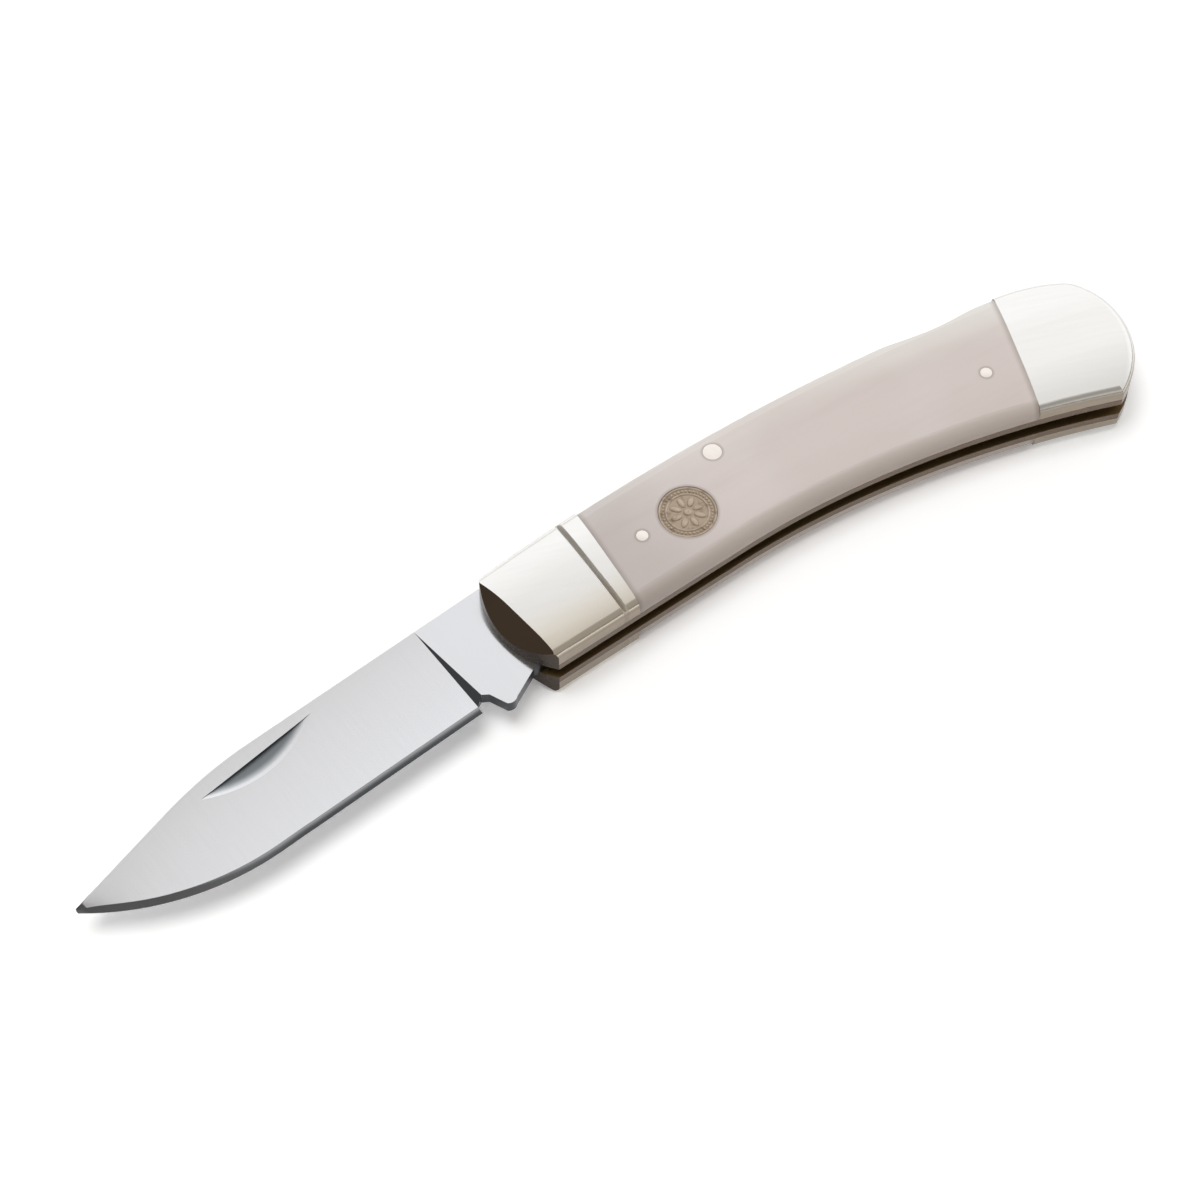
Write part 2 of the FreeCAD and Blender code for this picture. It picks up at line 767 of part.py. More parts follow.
# Nail nick, sunk by the rim of a wheel that leans over the flat
nick_spine, nick_shoulder = blade_section(S.nick_reach.value)[:2]
flat_slope = (nick_spine.z - nick_shoulder.z) / (nick_spine.y - nick_shoulder.y)
nick_floor_angle = math.atan2(S.nick_depth.value, S.nick_width.value) - math.atan(flat_slope)
nick_sink = S.nick_depth.value / math.cos(nick_floor_angle)
nick_wheel_radius = ((S.nick_length.value / 2) ** 2 + nick_sink ** 2) / (2 * nick_sink)
nick_surface = nick_spine.z - flat_slope * (nick_spine.y - S.nick_height.value)
nick_turn = Rotation(Vector(0, 0, 1), S.nick_tilt_angle.value)
nick_turn = nick_turn.multiply(Rotation(Vector(1, 0, 0), 90 - math.degrees(nick_floor_angle)))
nick_lift = nick_turn.multVec(Vector(0, nick_wheel_radius - nick_sink, 0))
nick_centre = Vector(-S.nick_reach.value, S.nick_height.value, nick_surface).add(nick_lift)
nick_wheel = doc.addObject("Part::Cylinder", "nick_wheel")
nick_wheel.Radius = nick_wheel_radius
bind(nick_wheel, Height=S.nick_width * 2)
nick_wheel.Placement = Placement(nick_centre, nick_turn)

bore_radius = S.pivot_pin_radius + S.running_clearance
blade_bore = cylinder("blade_bore", bore_radius, ZERO, ZERO, -S.overrun, S.overrun)
blade_fused = doc.addObject("Part::MultiFuse", "blade_fused")
blade_fused.Shapes = [tang, plunge, straight_blade, tip_blade]
blade_whole = cut("blade_bored", cut("blade_nicked", blade_fused, nick_wheel), blade_bore)

# Lock bar, drawn home in the notch and then lifted just clear of the tang
hook_radius = S.tang_radius - S.lock_bite
hook_low = S.lock_notch_low_angle + angle_of(S.lock_face_clearance, hook_radius)
hook_high = S.lock_notch_high_angle - angle_of(S.lock_nose_clearance, hook_radius)
hook_corner = polar(hook_radius, hook_low)
nose_x = S.nose_height * hook_high.cos() / hook_high.sin()
nose_y = back_height(nose_x) - S.lock_nose_sink
tail_x = S.butt_reach - S.spacer_setback - S.lock_tail_gap
tail_y = back_height(tail_x) + S.lock_tail_rise
lock_plate = plate("lock_plate", [
    (*polar(hook_radius, hook_high), hook_radius, IN),
    hook_corner,
    (S.lock_arm_floor_height * hook_low.cos() / hook_low.sin(), S.lock_arm_floor_height),
    (S.lock_arm_end_reach, S.lock_arm_floor_height),
    (S.rocker_reach - S.lock_boss_half_length, S.lock_boss_floor_height),
    (S.rocker_reach + S.lock_boss_half_length, S.lock_boss_floor_height),
    (tail_x - S.lock_tail_length, tail_y - S.lock_tail_depth),
    (tail_x, tail_y - S.lock_tail_depth),
    (tail_x, tail_y, back_radius, OUT),
    (nose_x, nose_y),
], (liner_floor - S.lock_bar_side_clearance) * 2)
lock_bore = cylinder(
    "lock_bore", S.rocker_pin_radius + S.running_clearance, S.rocker_reach, S.rocker_height,
    -S.overrun, S.overrun,
)
lock_whole = cut("lock_bored", lock_plate, lock_bore)
hook_corner_lift = (S.lock_bite + S.lock_lift_gap) / hook_low.sin()
lift_angle = angle_of(hook_corner_lift, S.rocker_reach - hook_corner[0])
rocker = (S.rocker_reach, S.rocker_height)

# Spring: a leaf rooted in the spacer, its free end under the lock bar's tail
spacer_x = S.butt_reach - S.spacer_setback
root_top = S.spring_root_height + S.spring_thick / 2
root_low = S.spring_root_height - S.spring_thick / 2
spring_tip_x = tail_x - S.lock_tail_length + S.spring_tip_inset
tail_fall = (spring_tip_x - S.rocker_reach) * lift_angle.sin()
spring_run = spacer_x - spring_tip_x
spring_rise = tail_y - S.lock_tail_depth - tail_fall - S.spring_gap - root_top
spring_radius = radius_through(spring_run, spring_rise)
outer_radius = spring_radius + S.spring_thick
outer_share = outer_radius / spring_radius
spring_plate = plate("spring_plate", [
    (spacer_x + S.spring_root_length, root_top),
    (spacer_x, root_top, spring_radius, IN),
    (spring_tip_x, root_top + spring_rise),
    (
        spacer_x - spring_run * outer_share,
        root_top + spring_radius - (spring_radius - spring_rise) * outer_share,
        outer_radius, OUT,
    ),
    (spacer_x, root_low),
    (spacer_x + S.spring_root_length, root_low),
], (liner_floor - S.spring_side_clearance) * 2)

# Spacer that closes the butt between the liners and holds the spring's root
spacer_zone = plate("spacer_zone", [
    (S.butt_reach + S.overrun, S.back_crest_height + S.overrun),
    (spacer_x, S.back_crest_height + S.overrun),
    (spacer_x, root_top),
    (spacer_x + S.spring_root_length, root_top),
    (spacer_x + S.spring_root_length, root_low),
    (spacer_x, root_low),
    (spacer_x, root_low - S.spacer_lip),
    (S.butt_reach - S.spacer_nose_setback, -S.spacer_nose_depth),
    (S.butt_reach - S.spacer_belly_setback, -S.spacer_belly_depth),
    (S.butt_reach + S.overrun, -S.spacer_belly_depth),
], liner_floor * 4)
spacer_blank = plate("spacer_blank", handle_outline, liner_floor * 2)
spacer_shaped = cut("spacer_scooped", common("spacer_shaped", spacer_blank, spacer_zone), scoop)
spacer = cut("spacer_bored", spacer_shaped, butt_pins)

# Finished pieces, before they are moved into the knife's own frame
pieces = {
    "blade": blade_whole,
    "lock_bar": lock_whole,
    "pivot_pin": pivot_pin,
    "mark_liner": mark_liner,
    "pile_liner": pile_liner,
    "mark_front_bolster": front_bolster,
    "pile_front_bolster": mirrored("pile_front_bolster_bored", front_bolster),
    "mark_rear_bolster": rear_bolster,
    "pile_rear_bolster": mirrored("pile_rear_bolster_bored", rear_bolster),
    "mark_scale": mark_scale,
    "pile_scale": pile_scale,
    "inlay_disc": inlay,
    "lock_bar_pin": rocker_pin,
    "lock_spring": spring_plate,
    "butt_spacer": spacer,
    "butt_pins": butt_pins,
    "mark_scale_pins": mark_scale_pins,
    "pile_scale_pins": pile_scale_pins,
    "mark_bolster_rivets": rivets,
    "pile_bolster_rivets": mirrored("pile_rivet_set", rivets),
}
turns = {
    "blade": ((ZERO, ZERO), S.blade_lean_angle),
    "lock_bar": ((S.rocker_reach, S.rocker_height), -lift_angle),
}


def finish(name, source):
    """The finished piece under its own name, the blade leant and the lock bar lifted about their pins."""
    piece = doc.addObject("Part::Refine", f"{name}_piece")
    piece.Label = name
    piece.Source = source
    pin, angle = turns.get(name, ((ZERO, ZERO), ZERO))
    swung = turn(pin, angle)
    bind(piece, Placement__Rotation__Angle=angle)
    bind(piece, Placement__Base__x=pin[0] - swung[0], Placement__Base__y=pin[1] - swung[1])
    return piece


nodes = {name: finish(name, source) for name, source in pieces.items()}
doc.recompute()

# The knife's frame: the middle of its box in plan, and the flat it rests on below
box = Part.makeCompound([piece.Shape for piece in nodes.values()]).optimalBoundingBox(False)
shifts = {
    "shift_along": -box.Center.x,
    "shift_across": -box.Center.y,
    "shift_up": -box.ZMin,
}
for row, (alias, value) in enumerate(shifts.items(), start=len(SIZES) + 1):
    sheet.set(f"A{row}", alias)
    sheet.set(f"B{row}", repr(value))
    sheet.setAlias(f"B{row}", alias)
doc.recompute()
shift_x, shift_y, shift_z = [Size(value, f"Sizes.{alias}") for alias, value in shifts.items()]
for name, piece in nodes.items():
    pin, angle = turns.get(name, ((ZERO, ZERO), ZERO))
    swung = turn(pin, angle)
    bind(
        piece,
        Placement__Base__x=shift_x + pin[0] - swung[0],
        Placement__Base__y=shift_y + pin[1] - swung[1],
        Placement__Base__z=shift_z,
    )
doc.recompute()

# Every object and shape is checked before anything is written
for thing in doc.Objects:
    if "Invalid" in thing.State or "Error" in thing.State:
        raise RuntimeError(f"{thing.Label} did not build: {thing.State}")
for name, piece in nodes.items():
    if piece.Shape.isNull() or not piece.Shape.isValid() or not piece.Shape.Solids:
        raise RuntimeError(f"{name} has no valid solid")

os.makedirs("parts", exist_ok=True)
for name, piece in nodes.items():
    piece.Shape.exportStep(f"parts/{name}.step")
    print(name, len(piece.Shape.Solids), round(piece.Shape.Volume, 3), piece.Shape.BoundBox)
print("pivot", shift_x.value, shift_y.value, shift_z.value)
print("rocker", shift_x.value + S.rocker_reach.value, shift_y.value + S.rocker_height.value, shift_z.value)
print("lift angle", lift_angle.value)
print("box", box)
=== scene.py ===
# %% [markdown]
# # A lockback pocket knife
# The knife lies open on its side on a white table, seen from above its blade.
# The exact shapes come in as a fixed frame of named pieces, and they are never moved or
# reshaped here. This lesson gives each piece its finish, adds the small pieces that only
# show, and sets light and camera.

# %% Load the exact shapes
import json
import math

import bmesh
import bpy
from mathutils import Matrix, Vector


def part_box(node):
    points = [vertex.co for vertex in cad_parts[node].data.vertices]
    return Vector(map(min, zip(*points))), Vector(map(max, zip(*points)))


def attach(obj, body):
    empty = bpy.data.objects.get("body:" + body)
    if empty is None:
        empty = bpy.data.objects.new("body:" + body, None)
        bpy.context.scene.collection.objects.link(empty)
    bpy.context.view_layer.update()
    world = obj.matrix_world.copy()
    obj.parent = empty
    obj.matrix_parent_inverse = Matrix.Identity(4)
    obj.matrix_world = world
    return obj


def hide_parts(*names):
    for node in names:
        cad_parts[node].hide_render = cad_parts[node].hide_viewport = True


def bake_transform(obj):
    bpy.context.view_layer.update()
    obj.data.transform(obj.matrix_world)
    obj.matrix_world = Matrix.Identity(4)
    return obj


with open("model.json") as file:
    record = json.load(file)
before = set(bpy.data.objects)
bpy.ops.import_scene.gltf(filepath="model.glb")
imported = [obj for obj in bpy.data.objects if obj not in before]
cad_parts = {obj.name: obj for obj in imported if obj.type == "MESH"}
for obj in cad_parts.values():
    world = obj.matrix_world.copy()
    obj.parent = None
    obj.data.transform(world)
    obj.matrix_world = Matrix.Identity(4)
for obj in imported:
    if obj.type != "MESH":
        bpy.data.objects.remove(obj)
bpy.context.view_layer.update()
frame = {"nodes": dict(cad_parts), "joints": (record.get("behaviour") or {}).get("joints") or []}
nodes = frame["nodes"]
MM = 0.001


def in_mm(*values):
    """Metres as rounded millimetres, for printing."""
    return [round(value / MM, 2) for value in values]


# %% [markdown]
# ## Places to measure from
# The two pins that things turn on are known from the joints. Every place on the knife could
# be typed as world coordinates, but a place measured from the blade's pivot stays true if
# the whole part is shifted.

# %% Pivots, and the blade's own direction
pins = {joint["name"]: Vector(joint["pos_m"]) for joint in frame["joints"]}
pivot = pins["blade_hinge"]
rocker = pins["lock_rocker"]
BLADE_LEAN = math.radians(7.6)


def at(x, y, z=0.0):
    """A point given in millimetres from the blade's pivot."""
    return pivot + Vector((x, y, z)) * MM


print("pivot", in_mm(*pivot), "rocker", in_mm(*rocker))

# %% [markdown]
# ## Building a node graph in code
# A material is a graph of nodes. In the editor each node is placed and wired by hand; in code
# two small helpers do it. One joins a socket or sets a plain value on it, and one adds a node
# with all its inputs in one line.

# %% Helpers: add a node, fill a socket
def put(tree, socket, value):
    """Joins a socket to another, or sets a plain value on it."""
    if isinstance(value, bpy.types.NodeSocket):
        tree.links.new(value, socket)
    else:
        socket.default_value = value


def add(tree, kind, settings=None, **inputs):
    """Adds a node; settings are its own options, inputs are values or sockets by input name."""
    node = tree.nodes.new(kind)
    for name, value in (settings or {}).items():
        setattr(node, name, value)
    for name, value in inputs.items():
        put(tree, node.inputs[name.replace("_", " ")], value)
    return node


print("node helpers ready")

# %% [markdown]
# ## Arithmetic on the surface
# Stains, scratches and worn edges are all sums over the surface: a distance, a slope, a share
# between two limits. A Math node has unnamed sockets, so it gets a helper of its own, and so
# does the Map Range that turns a distance into a soft mask.

# %% Helpers: arithmetic
def maths(tree, operation, *values):
    """One step of arithmetic; returns its output."""
    node = add(tree, "ShaderNodeMath", {"operation": operation})
    for socket, value in zip(node.inputs, values):
        put(tree, socket, value)
    return node.outputs[0]


def vector_maths(tree, operation, output, *values):
    """One step of vector arithmetic; returns the named output."""
    node = add(tree, "ShaderNodeVectorMath", {"operation": operation})
    for socket, value in zip(node.inputs, values):
        put(tree, socket, value)
    return node.outputs[output]


def remap(tree, value, from_low, from_high, to_low=0.0, to_high=1.0, shape="SMOOTHSTEP"):
    """Maps one range to another, with soft ends unless the shape is LINEAR."""
    limits = {"From_Min": from_low, "From_Max": from_high, "To_Min": to_low, "To_Max": to_high}
    style = {"interpolation_type": shape}
    return add(tree, "ShaderNodeMapRange", style, Value=value, **limits).outputs["Result"]


print("arithmetic helpers ready")

# %% [markdown]
# ## Masks
# A mask is 1 where a finish lies and 0 elsewhere. Most masks fade out along a distance, and two
# of them hold together where their product is 1, so both steps get a short name.

# %% Helpers: masks
def fade(tree, value, start, end):
    """A mask that is 1 up to start and fades to 0 at end."""
    return remap(tree, value, start, end, 1.0, 0.0)


def both(tree, first, second):
    """The share that two masks have in common."""
    return maths(tree, "MULTIPLY", first, second)


print("mask helpers ready")

# %% [markdown]
# ## Where a point lies, and which way it looks
# Every finish asks where a point of the surface is, or which way it faces. Both are read in the
# piece's own directions, so a finish stays with its face when the piece turns.

# %% Helpers: places and directions
def surface(tree, kind):
    """The place (Object) or the direction (Normal) of a point of the surface."""
    return add(tree, "ShaderNodeTexCoord").outputs[kind]


def split(tree, vector):
    """The parts of a vector, in order or by the names X, Y and Z."""
    return add(tree, "ShaderNodeSeparateXYZ", Vector=vector).outputs


def past_pivot(tree):
    """The way from the blade's pivot to a point of the surface."""
    return vector_maths(tree, "SUBTRACT", "Vector", surface(tree, "Object"), pivot)


def noise(tree, place, **values):
    """A cloudy noise from 0 to 1."""
    return add(tree, "ShaderNodeTexNoise", Vector=place, **values).outputs["Fac"]


print("place helpers ready")

# %% [markdown]
# ## Colours
# Colours are easiest to judge as screen values from 0 to 255, but a shader works with linear
# light. One helper converts, one mixes by a mask, and one goes between two screen colours.
# A Mix node keeps a set of sockets for each kind of value, so they are picked by number.

# %% Helpers: colours
# For each kind: the sockets of share, first and second, then the output
MIX_SOCKETS = {"RGBA": (0, 6, 7, 2), "VECTOR": (0, 4, 5, 1)}


def rgb(red, green, blue):
    """A screen colour, 0 to 255, as the linear colour that a shader works with."""
    linear = []
    for part in (red, green, blue):
        share = part / 255
        linear.append(share / 12.92 if share <= 0.04045 else ((share + 0.055) / 1.055) ** 2.4)
    return (*linear, 1.0)


def mix(tree, share, first, second, kind="RGBA"):
    """Mixes two colours or normals: the first where share is 0, the second where it is 1."""
    node = add(tree, "ShaderNodeMix", {"data_type": kind})
    *sockets, result = MIX_SOCKETS[kind]
    for index, value in zip(sockets, (share, first, second)):
        put(tree, node.inputs[index], value)
    return node.outputs[result]


def two_tone(tree, share, first, second):
    """A colour that goes from one screen colour to another."""
    return mix(tree, share, rgb(*first), rgb(*second))


print("middle grey as light", [round(v, 3) for v in rgb(128, 128, 128)])

# %% [markdown]
# ## Groups and materials
# An effect that several finishes share is a node group, built once and placed in each material
# with its own values. A material here is one Principled shader, whose plain values are set on
# its sockets and whose varying ones are wired later. A last helper hands a finished material
# to the exact pieces.

# %% Helpers: groups, materials, dressing
def new_group(name, inputs, outputs):
    """A node group with typed sockets; returns the tree, what it is given and what it makes."""
    tree = bpy.data.node_groups.new(name, "ShaderNodeTree")
    for label, kind, default in inputs:
        tree.interface.new_socket(label, in_out="INPUT", socket_type=kind).default_value = default
    for label, kind in outputs:
        tree.interface.new_socket(label, in_out="OUTPUT", socket_type=kind)
    given, made = tree.nodes.new("NodeGroupInput"), tree.nodes.new("NodeGroupOutput")
    return tree, given.outputs, made.inputs


def use_group(tree, group, **inputs):
    """Places a group in a material; returns its outputs."""
    node = tree.nodes.new("ShaderNodeGroup")
    node.node_tree = group
    for name, value in inputs.items():
        put(tree, node.inputs[name], value)
    return node.outputs


def new_material(name, **values):
    """A material with one Principled shader; returns the material, its tree and the inputs."""
    material = bpy.data.materials.new(name)
    material.use_nodes = True
    sockets = material.node_tree.nodes["Principled BSDF"].inputs
    for label, value in values.items():
        sockets[label.replace("_", " ")].default_value = value
    return material, material.node_tree, sockets


def dress(material, *names):
    """Gives exact pieces a material."""
    for name in names:
        mesh = nodes[name].data
        mesh.materials.clear()
        mesh.materials.append(material)
    print("material", material.name, "on", len(names), "pieces")


print("group and material helpers ready")

# %% [markdown]
# ## Fine scratches for every metal
# Polished and satin metals differ mostly in how long and how deep their fine scratches are.
# An image of scratches would repeat and blur; a noise that is stretched along one direction
# does neither. The group returns the noise as a wear value and as a bumped normal, so that
# blade, bolsters, liners and pins can share it.

# %% Group: scratches
SCRATCH_HEIGHT = 0.2 * MM
ABOUT_Z = {"rotation_type": "Z_AXIS"}
scratches, given, made = new_group(
    "scratches",
    [
        ("Turn", "NodeSocketFloat", 0.0),
        ("Fine", "NodeSocketFloat", 3000.0),
        ("Stretch", "NodeSocketFloat", 0.03),
        ("Depth", "NodeSocketFloat", 0.02),
    ],
    [("Wear", "NodeSocketFloat"), ("Normal", "NodeSocketVector")],
)
place = surface(scratches, "Object")
turned = add(scratches, "ShaderNodeVectorRotate", ABOUT_Z, Vector=place, Angle=given["Turn"])
x, y, z = split(scratches, turned.outputs["Vector"])
along = maths(scratches, "MULTIPLY", x, given["Stretch"])
drawn_out = add(scratches, "ShaderNodeCombineXYZ", X=along, Y=y, Z=z).outputs["Vector"]
grain = noise(scratches, drawn_out, Scale=given["Fine"], Detail=3.0, Roughness=0.6)
bump_values = {"Strength": given["Depth"], "Distance": SCRATCH_HEIGHT}
bump = add(scratches, "ShaderNodeBump", Height=grain, **bump_values)
put(scratches, made["Wear"], grain)
put(scratches, made["Normal"], bump.outputs["Normal"])
print("group", scratches.name)

# %% [markdown]
# ## Dullness and shallow curves
# Where scratches lie close, metal is duller, so a roughness can follow the same noise. And a
# wheel leaves curves that are too shallow to model: the square of a distance gives such a
# curve its height, and a Bump node turns the reflections as the real curve does.

# %% Helpers: scratched roughness, shallow curves
SCRATCH_SPREAD = (0.3, 0.7)


def scratched(tree, wear, smooth, dull):
    """A roughness that rises with the scratches."""
    return remap(tree, wear["Wear"], *SCRATCH_SPREAD, smooth, dull)


def curve_bump(tree, across, middle, curve, normal):
    """The normal of a surface that is bent by a shallow curve about its middle line."""
    off_middle = maths(tree, "SUBTRACT", across, middle)
    height = maths(tree, "MULTIPLY", maths(tree, "MULTIPLY", off_middle, off_middle), curve)
    in_metres = {"Strength": 1.0, "Distance": 1.0}
    return add(tree, "ShaderNodeBump", Height=height, Normal=normal, **in_metres).outputs["Normal"]


print("roughness and curve helpers ready")

# %% [markdown]
# ## Sanded edges
# Once the knife is riveted together, its outline is sanded on a belt. Faces that stand upright
# keep that duller finish, and the broad faces are polished; the materials also give the upright
# faces a darker colour, which is painted shade. They could be picked face by face, but the way a
# face looks tells them apart by itself: the group gives 1 where a face stands upright, and 0
# where it looks up or down. It also gives how level a face lies, for faces that lean only a little.

# %% Group: upright faces
STANDING = (0.3, 0.8)
upright, _, made = new_group(
    "upright", [], [("Mask", "NodeSocketFloat"), ("Level", "NodeSocketFloat")]
)
level = maths(upright, "ABSOLUTE", split(upright, surface(upright, "Normal"))["Z"])
put(upright, made["Mask"], fade(upright, level, *STANDING))
put(upright, made["Level"], level)
print("group", upright.name)

# %% [markdown]
# ## Faces that look to the tip
# The slanted nose of the bolster and the low wall under it lie in a corner over the blade, and
# their colour is darkened there with painted shade. Both look to the tip, so one more group tells
# them from the polished faces and from the sanded outline: it gives 1 on faces that look forward,
# and on those of them that stand upright.

# %% Group: forward faces
FORWARD = (-0.7, -0.4)
STEEP = (0.3, 0.42)
forward, _, made = new_group(
    "forward", [], [("Nose", "NodeSocketFloat"), ("Corner", "NodeSocketFloat")]
)
facing = split(forward, surface(forward, "Normal"))
nose = fade(forward, facing["X"], *FORWARD)
steep = fade(forward, maths(forward, "ABSOLUTE", facing["Z"]), *STEEP)
put(forward, made["Nose"], nose)
put(forward, made["Corner"], both(forward, nose, steep))
print("group", forward.name)

# %% [markdown]
# ## Polished nickel silver
# The bolsters are a pale alloy, buffed to a near mirror. Its colour comes almost wholly from
# what it reflects, so the shader stays simple: full metal, with a low roughness that rises on
# the sanded edges, whose darker tone is painted shade. The scratches only shift each tone a little.

# %% Material: bolsters, polished, sanded and painted shade
POLISHED = ((238, 237, 234), (232, 231, 228))
# painted shade: the darker tones of the sanded upright faces
SANDED_PAINTED_SHADE = ((156, 145, 131), (140, 129, 115))
# painted shade: the dark tones of the nose and of the corner under it
NOSE_PAINTED_SHADE = ((72, 60, 49), (58, 48, 40))
bolster_metal, tree, shader = new_material("bolster_metal", Metallic=1.0)
wear = use_group(tree, scratches, Turn=0.3, Fine=1600.0, Stretch=0.08, Depth=0.001)
polished = two_tone(tree, wear["Wear"], *POLISHED)
sanded_painted_shade = two_tone(tree, wear["Wear"], *SANDED_PAINTED_SHADE)
ahead = use_group(tree, forward)
nose_painted_shade = two_tone(tree, ahead["Corner"], *NOSE_PAINTED_SHADE)
edge = use_group(tree, upright)["Mask"]
print("polished, sanded and unreached tones wired")

# %% [markdown]
# ## The groove
# A thin groove runs across the front bolster, and its colour is darkened with painted shade. The
# groove itself is part of the exact shape, so the finish only needs to find it. It is a line turned
# by a few degrees, and the distance to that line makes the mask.

# %% Mask: groove
GROOVE_REACH = 4.65 * MM
GROOVE_CREST = 0.77 * MM
GROOVE_TURN = math.radians(3.3)
GROOVE_SIDE = (0.28 * MM, 0.52 * MM)
from_pivot = past_pivot(tree)
across_groove = (math.cos(GROOVE_TURN), math.sin(GROOVE_TURN), 0.0)
groove_line = GROOVE_REACH + GROOVE_CREST * math.sin(GROOVE_TURN)
past_line = vector_maths(tree, "DOT_PRODUCT", "Value", from_pivot, across_groove)
off_line = maths(tree, "ABSOLUTE", maths(tree, "SUBTRACT", past_line, groove_line))
in_groove = fade(tree, off_line, *GROOVE_SIDE)
print("groove at", in_mm(GROOVE_REACH))

# %% [markdown]
# ## A painted reflection at the belly, and the bolsters' colour
# A soft ramp down the front bolster paints a warmer tone toward the belly, which is a painted
# reflection. The painted shade in the groove is darkest on the side that looks to the tip. Each
# finish could be a material of its own, but they run into each other on one face, so a chain of
# mixes joins them.

# %% Colour: bolsters
BOLSTER_END = (8.0 * MM, 9.0 * MM)
BELLY = (-7.0 * MM, 0.0)
NOSE_END = 2.0 * MM
GROOVE_SHADE_SHARE = (0.3, 0.52)
x, y, _ = split(tree, from_pivot)
in_front = fade(tree, x, *BOLSTER_END)
warm_painted_reflection = both(tree, in_front, fade(tree, y, *BELLY))
# painted reflection: a warmer tone toward the belly of the front bolster
polished = mix(tree, warm_painted_reflection, polished, rgb(234, 226, 212))
# painted shade in the groove, darkest on the faces that look to the tip
groove_painted_shade = both(tree, in_groove, remap(tree, ahead["Nose"], 0.0, 1.0, *GROOVE_SHADE_SHARE))
polished = mix(tree, groove_painted_shade, polished, rgb(140, 131, 118))
# the upright faces take the sanded tone, darkened with painted shade
finished = mix(tree, edge, polished, sanded_painted_shade)
at_nose = both(tree, ahead["Nose"], fade(tree, x, 0.0, NOSE_END))
# the nose and the corner under it are darkened with painted shade
put(tree, shader["Base Color"], mix(tree, at_nose, finished, nose_painted_shade))
print("front bolster ends at", in_mm(*BOLSTER_END))

# %% [markdown]
# ## A buffed crown on the front bolster
# A buffing wheel rounds the short front bolster more than the long scale behind it, so its
# reflection runs from white at the back to warm grey at the belly. The bend is a few hundredths
# of a millimetre, too little to model, so it is a shallow curve in the bump. The roughness is
# lowest on the buffed faces, higher on the sanded outline and highest in the groove.

# %% Roughness and bump: bolsters
BUFFED_ROUGH, SANDED_ROUGH, GROOVE_ROUGH = 0.13, 0.26, 0.4
BUFFED_CURVE = 12.0
BUFFED_CREST = 1.0 * MM
groove_dull = remap(tree, in_groove, 0.0, 1.0, BUFFED_ROUGH, GROOVE_ROUGH)
edge_dull = remap(tree, edge, 0.0, 1.0, BUFFED_ROUGH, SANDED_ROUGH)
put(tree, shader["Roughness"], maths(tree, "MAXIMUM", groove_dull, edge_dull))
on_front = maths(tree, "MULTIPLY", in_front, -BUFFED_CURVE)
put(tree, shader["Normal"], curve_bump(tree, y, BUFFED_CREST, on_front, wear["Normal"]))
dress(
    bolster_metal,
    "mark_front_bolster", "pile_front_bolster", "mark_rear_bolster", "pile_rear_bolster",
    "pivot_pin", "butt_pins", "mark_bolster_rivets", "pile_bolster_rivets",
)

# %% [markdown]
# ## Peened pins
# The pins that show in the bone are the same alloy, but they are peened and then sanded with
# the scale, so they scatter light instead of mirroring it, and look almost white. A high
# roughness and a share of plain diffuse colour give that soft look.

# %% Material: pins in the scales
PEENED = ((246, 239, 233), (236, 229, 222))
pin_metal, tree, shader = new_material("pin_metal", Metallic=0.45, Specular_IOR_Level=0.5)
wear = use_group(tree, scratches, Turn=1.1, Fine=2200.0, Stretch=0.2, Depth=0.01)
put(tree, shader["Base Color"], two_tone(tree, wear["Wear"], *PEENED))
put(tree, shader["Roughness"], scratched(tree, wear, 0.3, 0.42))
put(tree, shader["Normal"], wear["Normal"])
dress(pin_metal, "lock_bar_pin", "mark_scale_pins", "pile_scale_pins")

# %% [markdown]
# ## Satin blade steel
# The blade is ground and then finished with very fine lines across its width. They are too fine
# to see one by one, so the roughness does most of the work, and the lines only break up the
# reflections a little. Three finishes meet on it: the ground flats, the freshly sharpened bevel,
# which leans a little more, and the sanded walls round the outline. The bevel and the walls are
# darkened with painted shade, and the walls lightened along the spine with a painted reflection.
# The way that each face leans tells which one it is.

# %% Material: blade, flats and bevel
GROUND = ((231, 232, 236), (225, 227, 230))
# painted shade: the dark tones of the sharpened bevel
SHARPENED_PAINTED_SHADE = ((90, 92, 95), (76, 78, 80))
FLAT_LEVEL = (0.97, 0.974)
ACROSS_BLADE = math.pi / 2 - BLADE_LEAN
blade_steel, tree, shader = new_material("blade_steel", Metallic=1.0)
wear = use_group(tree, scratches, Turn=ACROSS_BLADE, Fine=2600.0, Stretch=0.02, Depth=0.001)
lean = use_group(tree, upright)
ground = two_tone(tree, wear["Wear"], *GROUND)
bevel_painted_shade = two_tone(tree, wear["Wear"], *SHARPENED_PAINTED_SHADE)
on_flat = remap(tree, lean["Level"], *FLAT_LEVEL)
print("flats and bevel ready")

# %% [markdown]
# ## How deep a point lies in the blade
# The bottom of the nail nick and the sharpened bevel both lie below the ground flat. To find them,
# places are turned into the blade's own directions, and the depth is the fall from the
# flat's plane, which leans from the spine to the edge.

# %% Places: along, across and into the blade
SPINE_HEIGHT = 8.15 * MM
HALF_BLADE = 0.95 * MM
FLAT_SLOPE = 0.69 / 12.75
from_pivot = past_pivot(tree)
turned = add(tree, "ShaderNodeVectorRotate", ABOUT_Z, Vector=from_pivot, Angle=-BLADE_LEAN)
reach, width, level = split(tree, turned.outputs["Vector"])
fall = maths(tree, "MULTIPLY", maths(tree, "SUBTRACT", SPINE_HEIGHT, width), FLAT_SLOPE)
depth = maths(tree, "SUBTRACT", maths(tree, "SUBTRACT", HALF_BLADE, fall), level)
print("flat falls", round(FLAT_SLOPE, 3), "per mm from", in_mm(SPINE_HEIGHT))
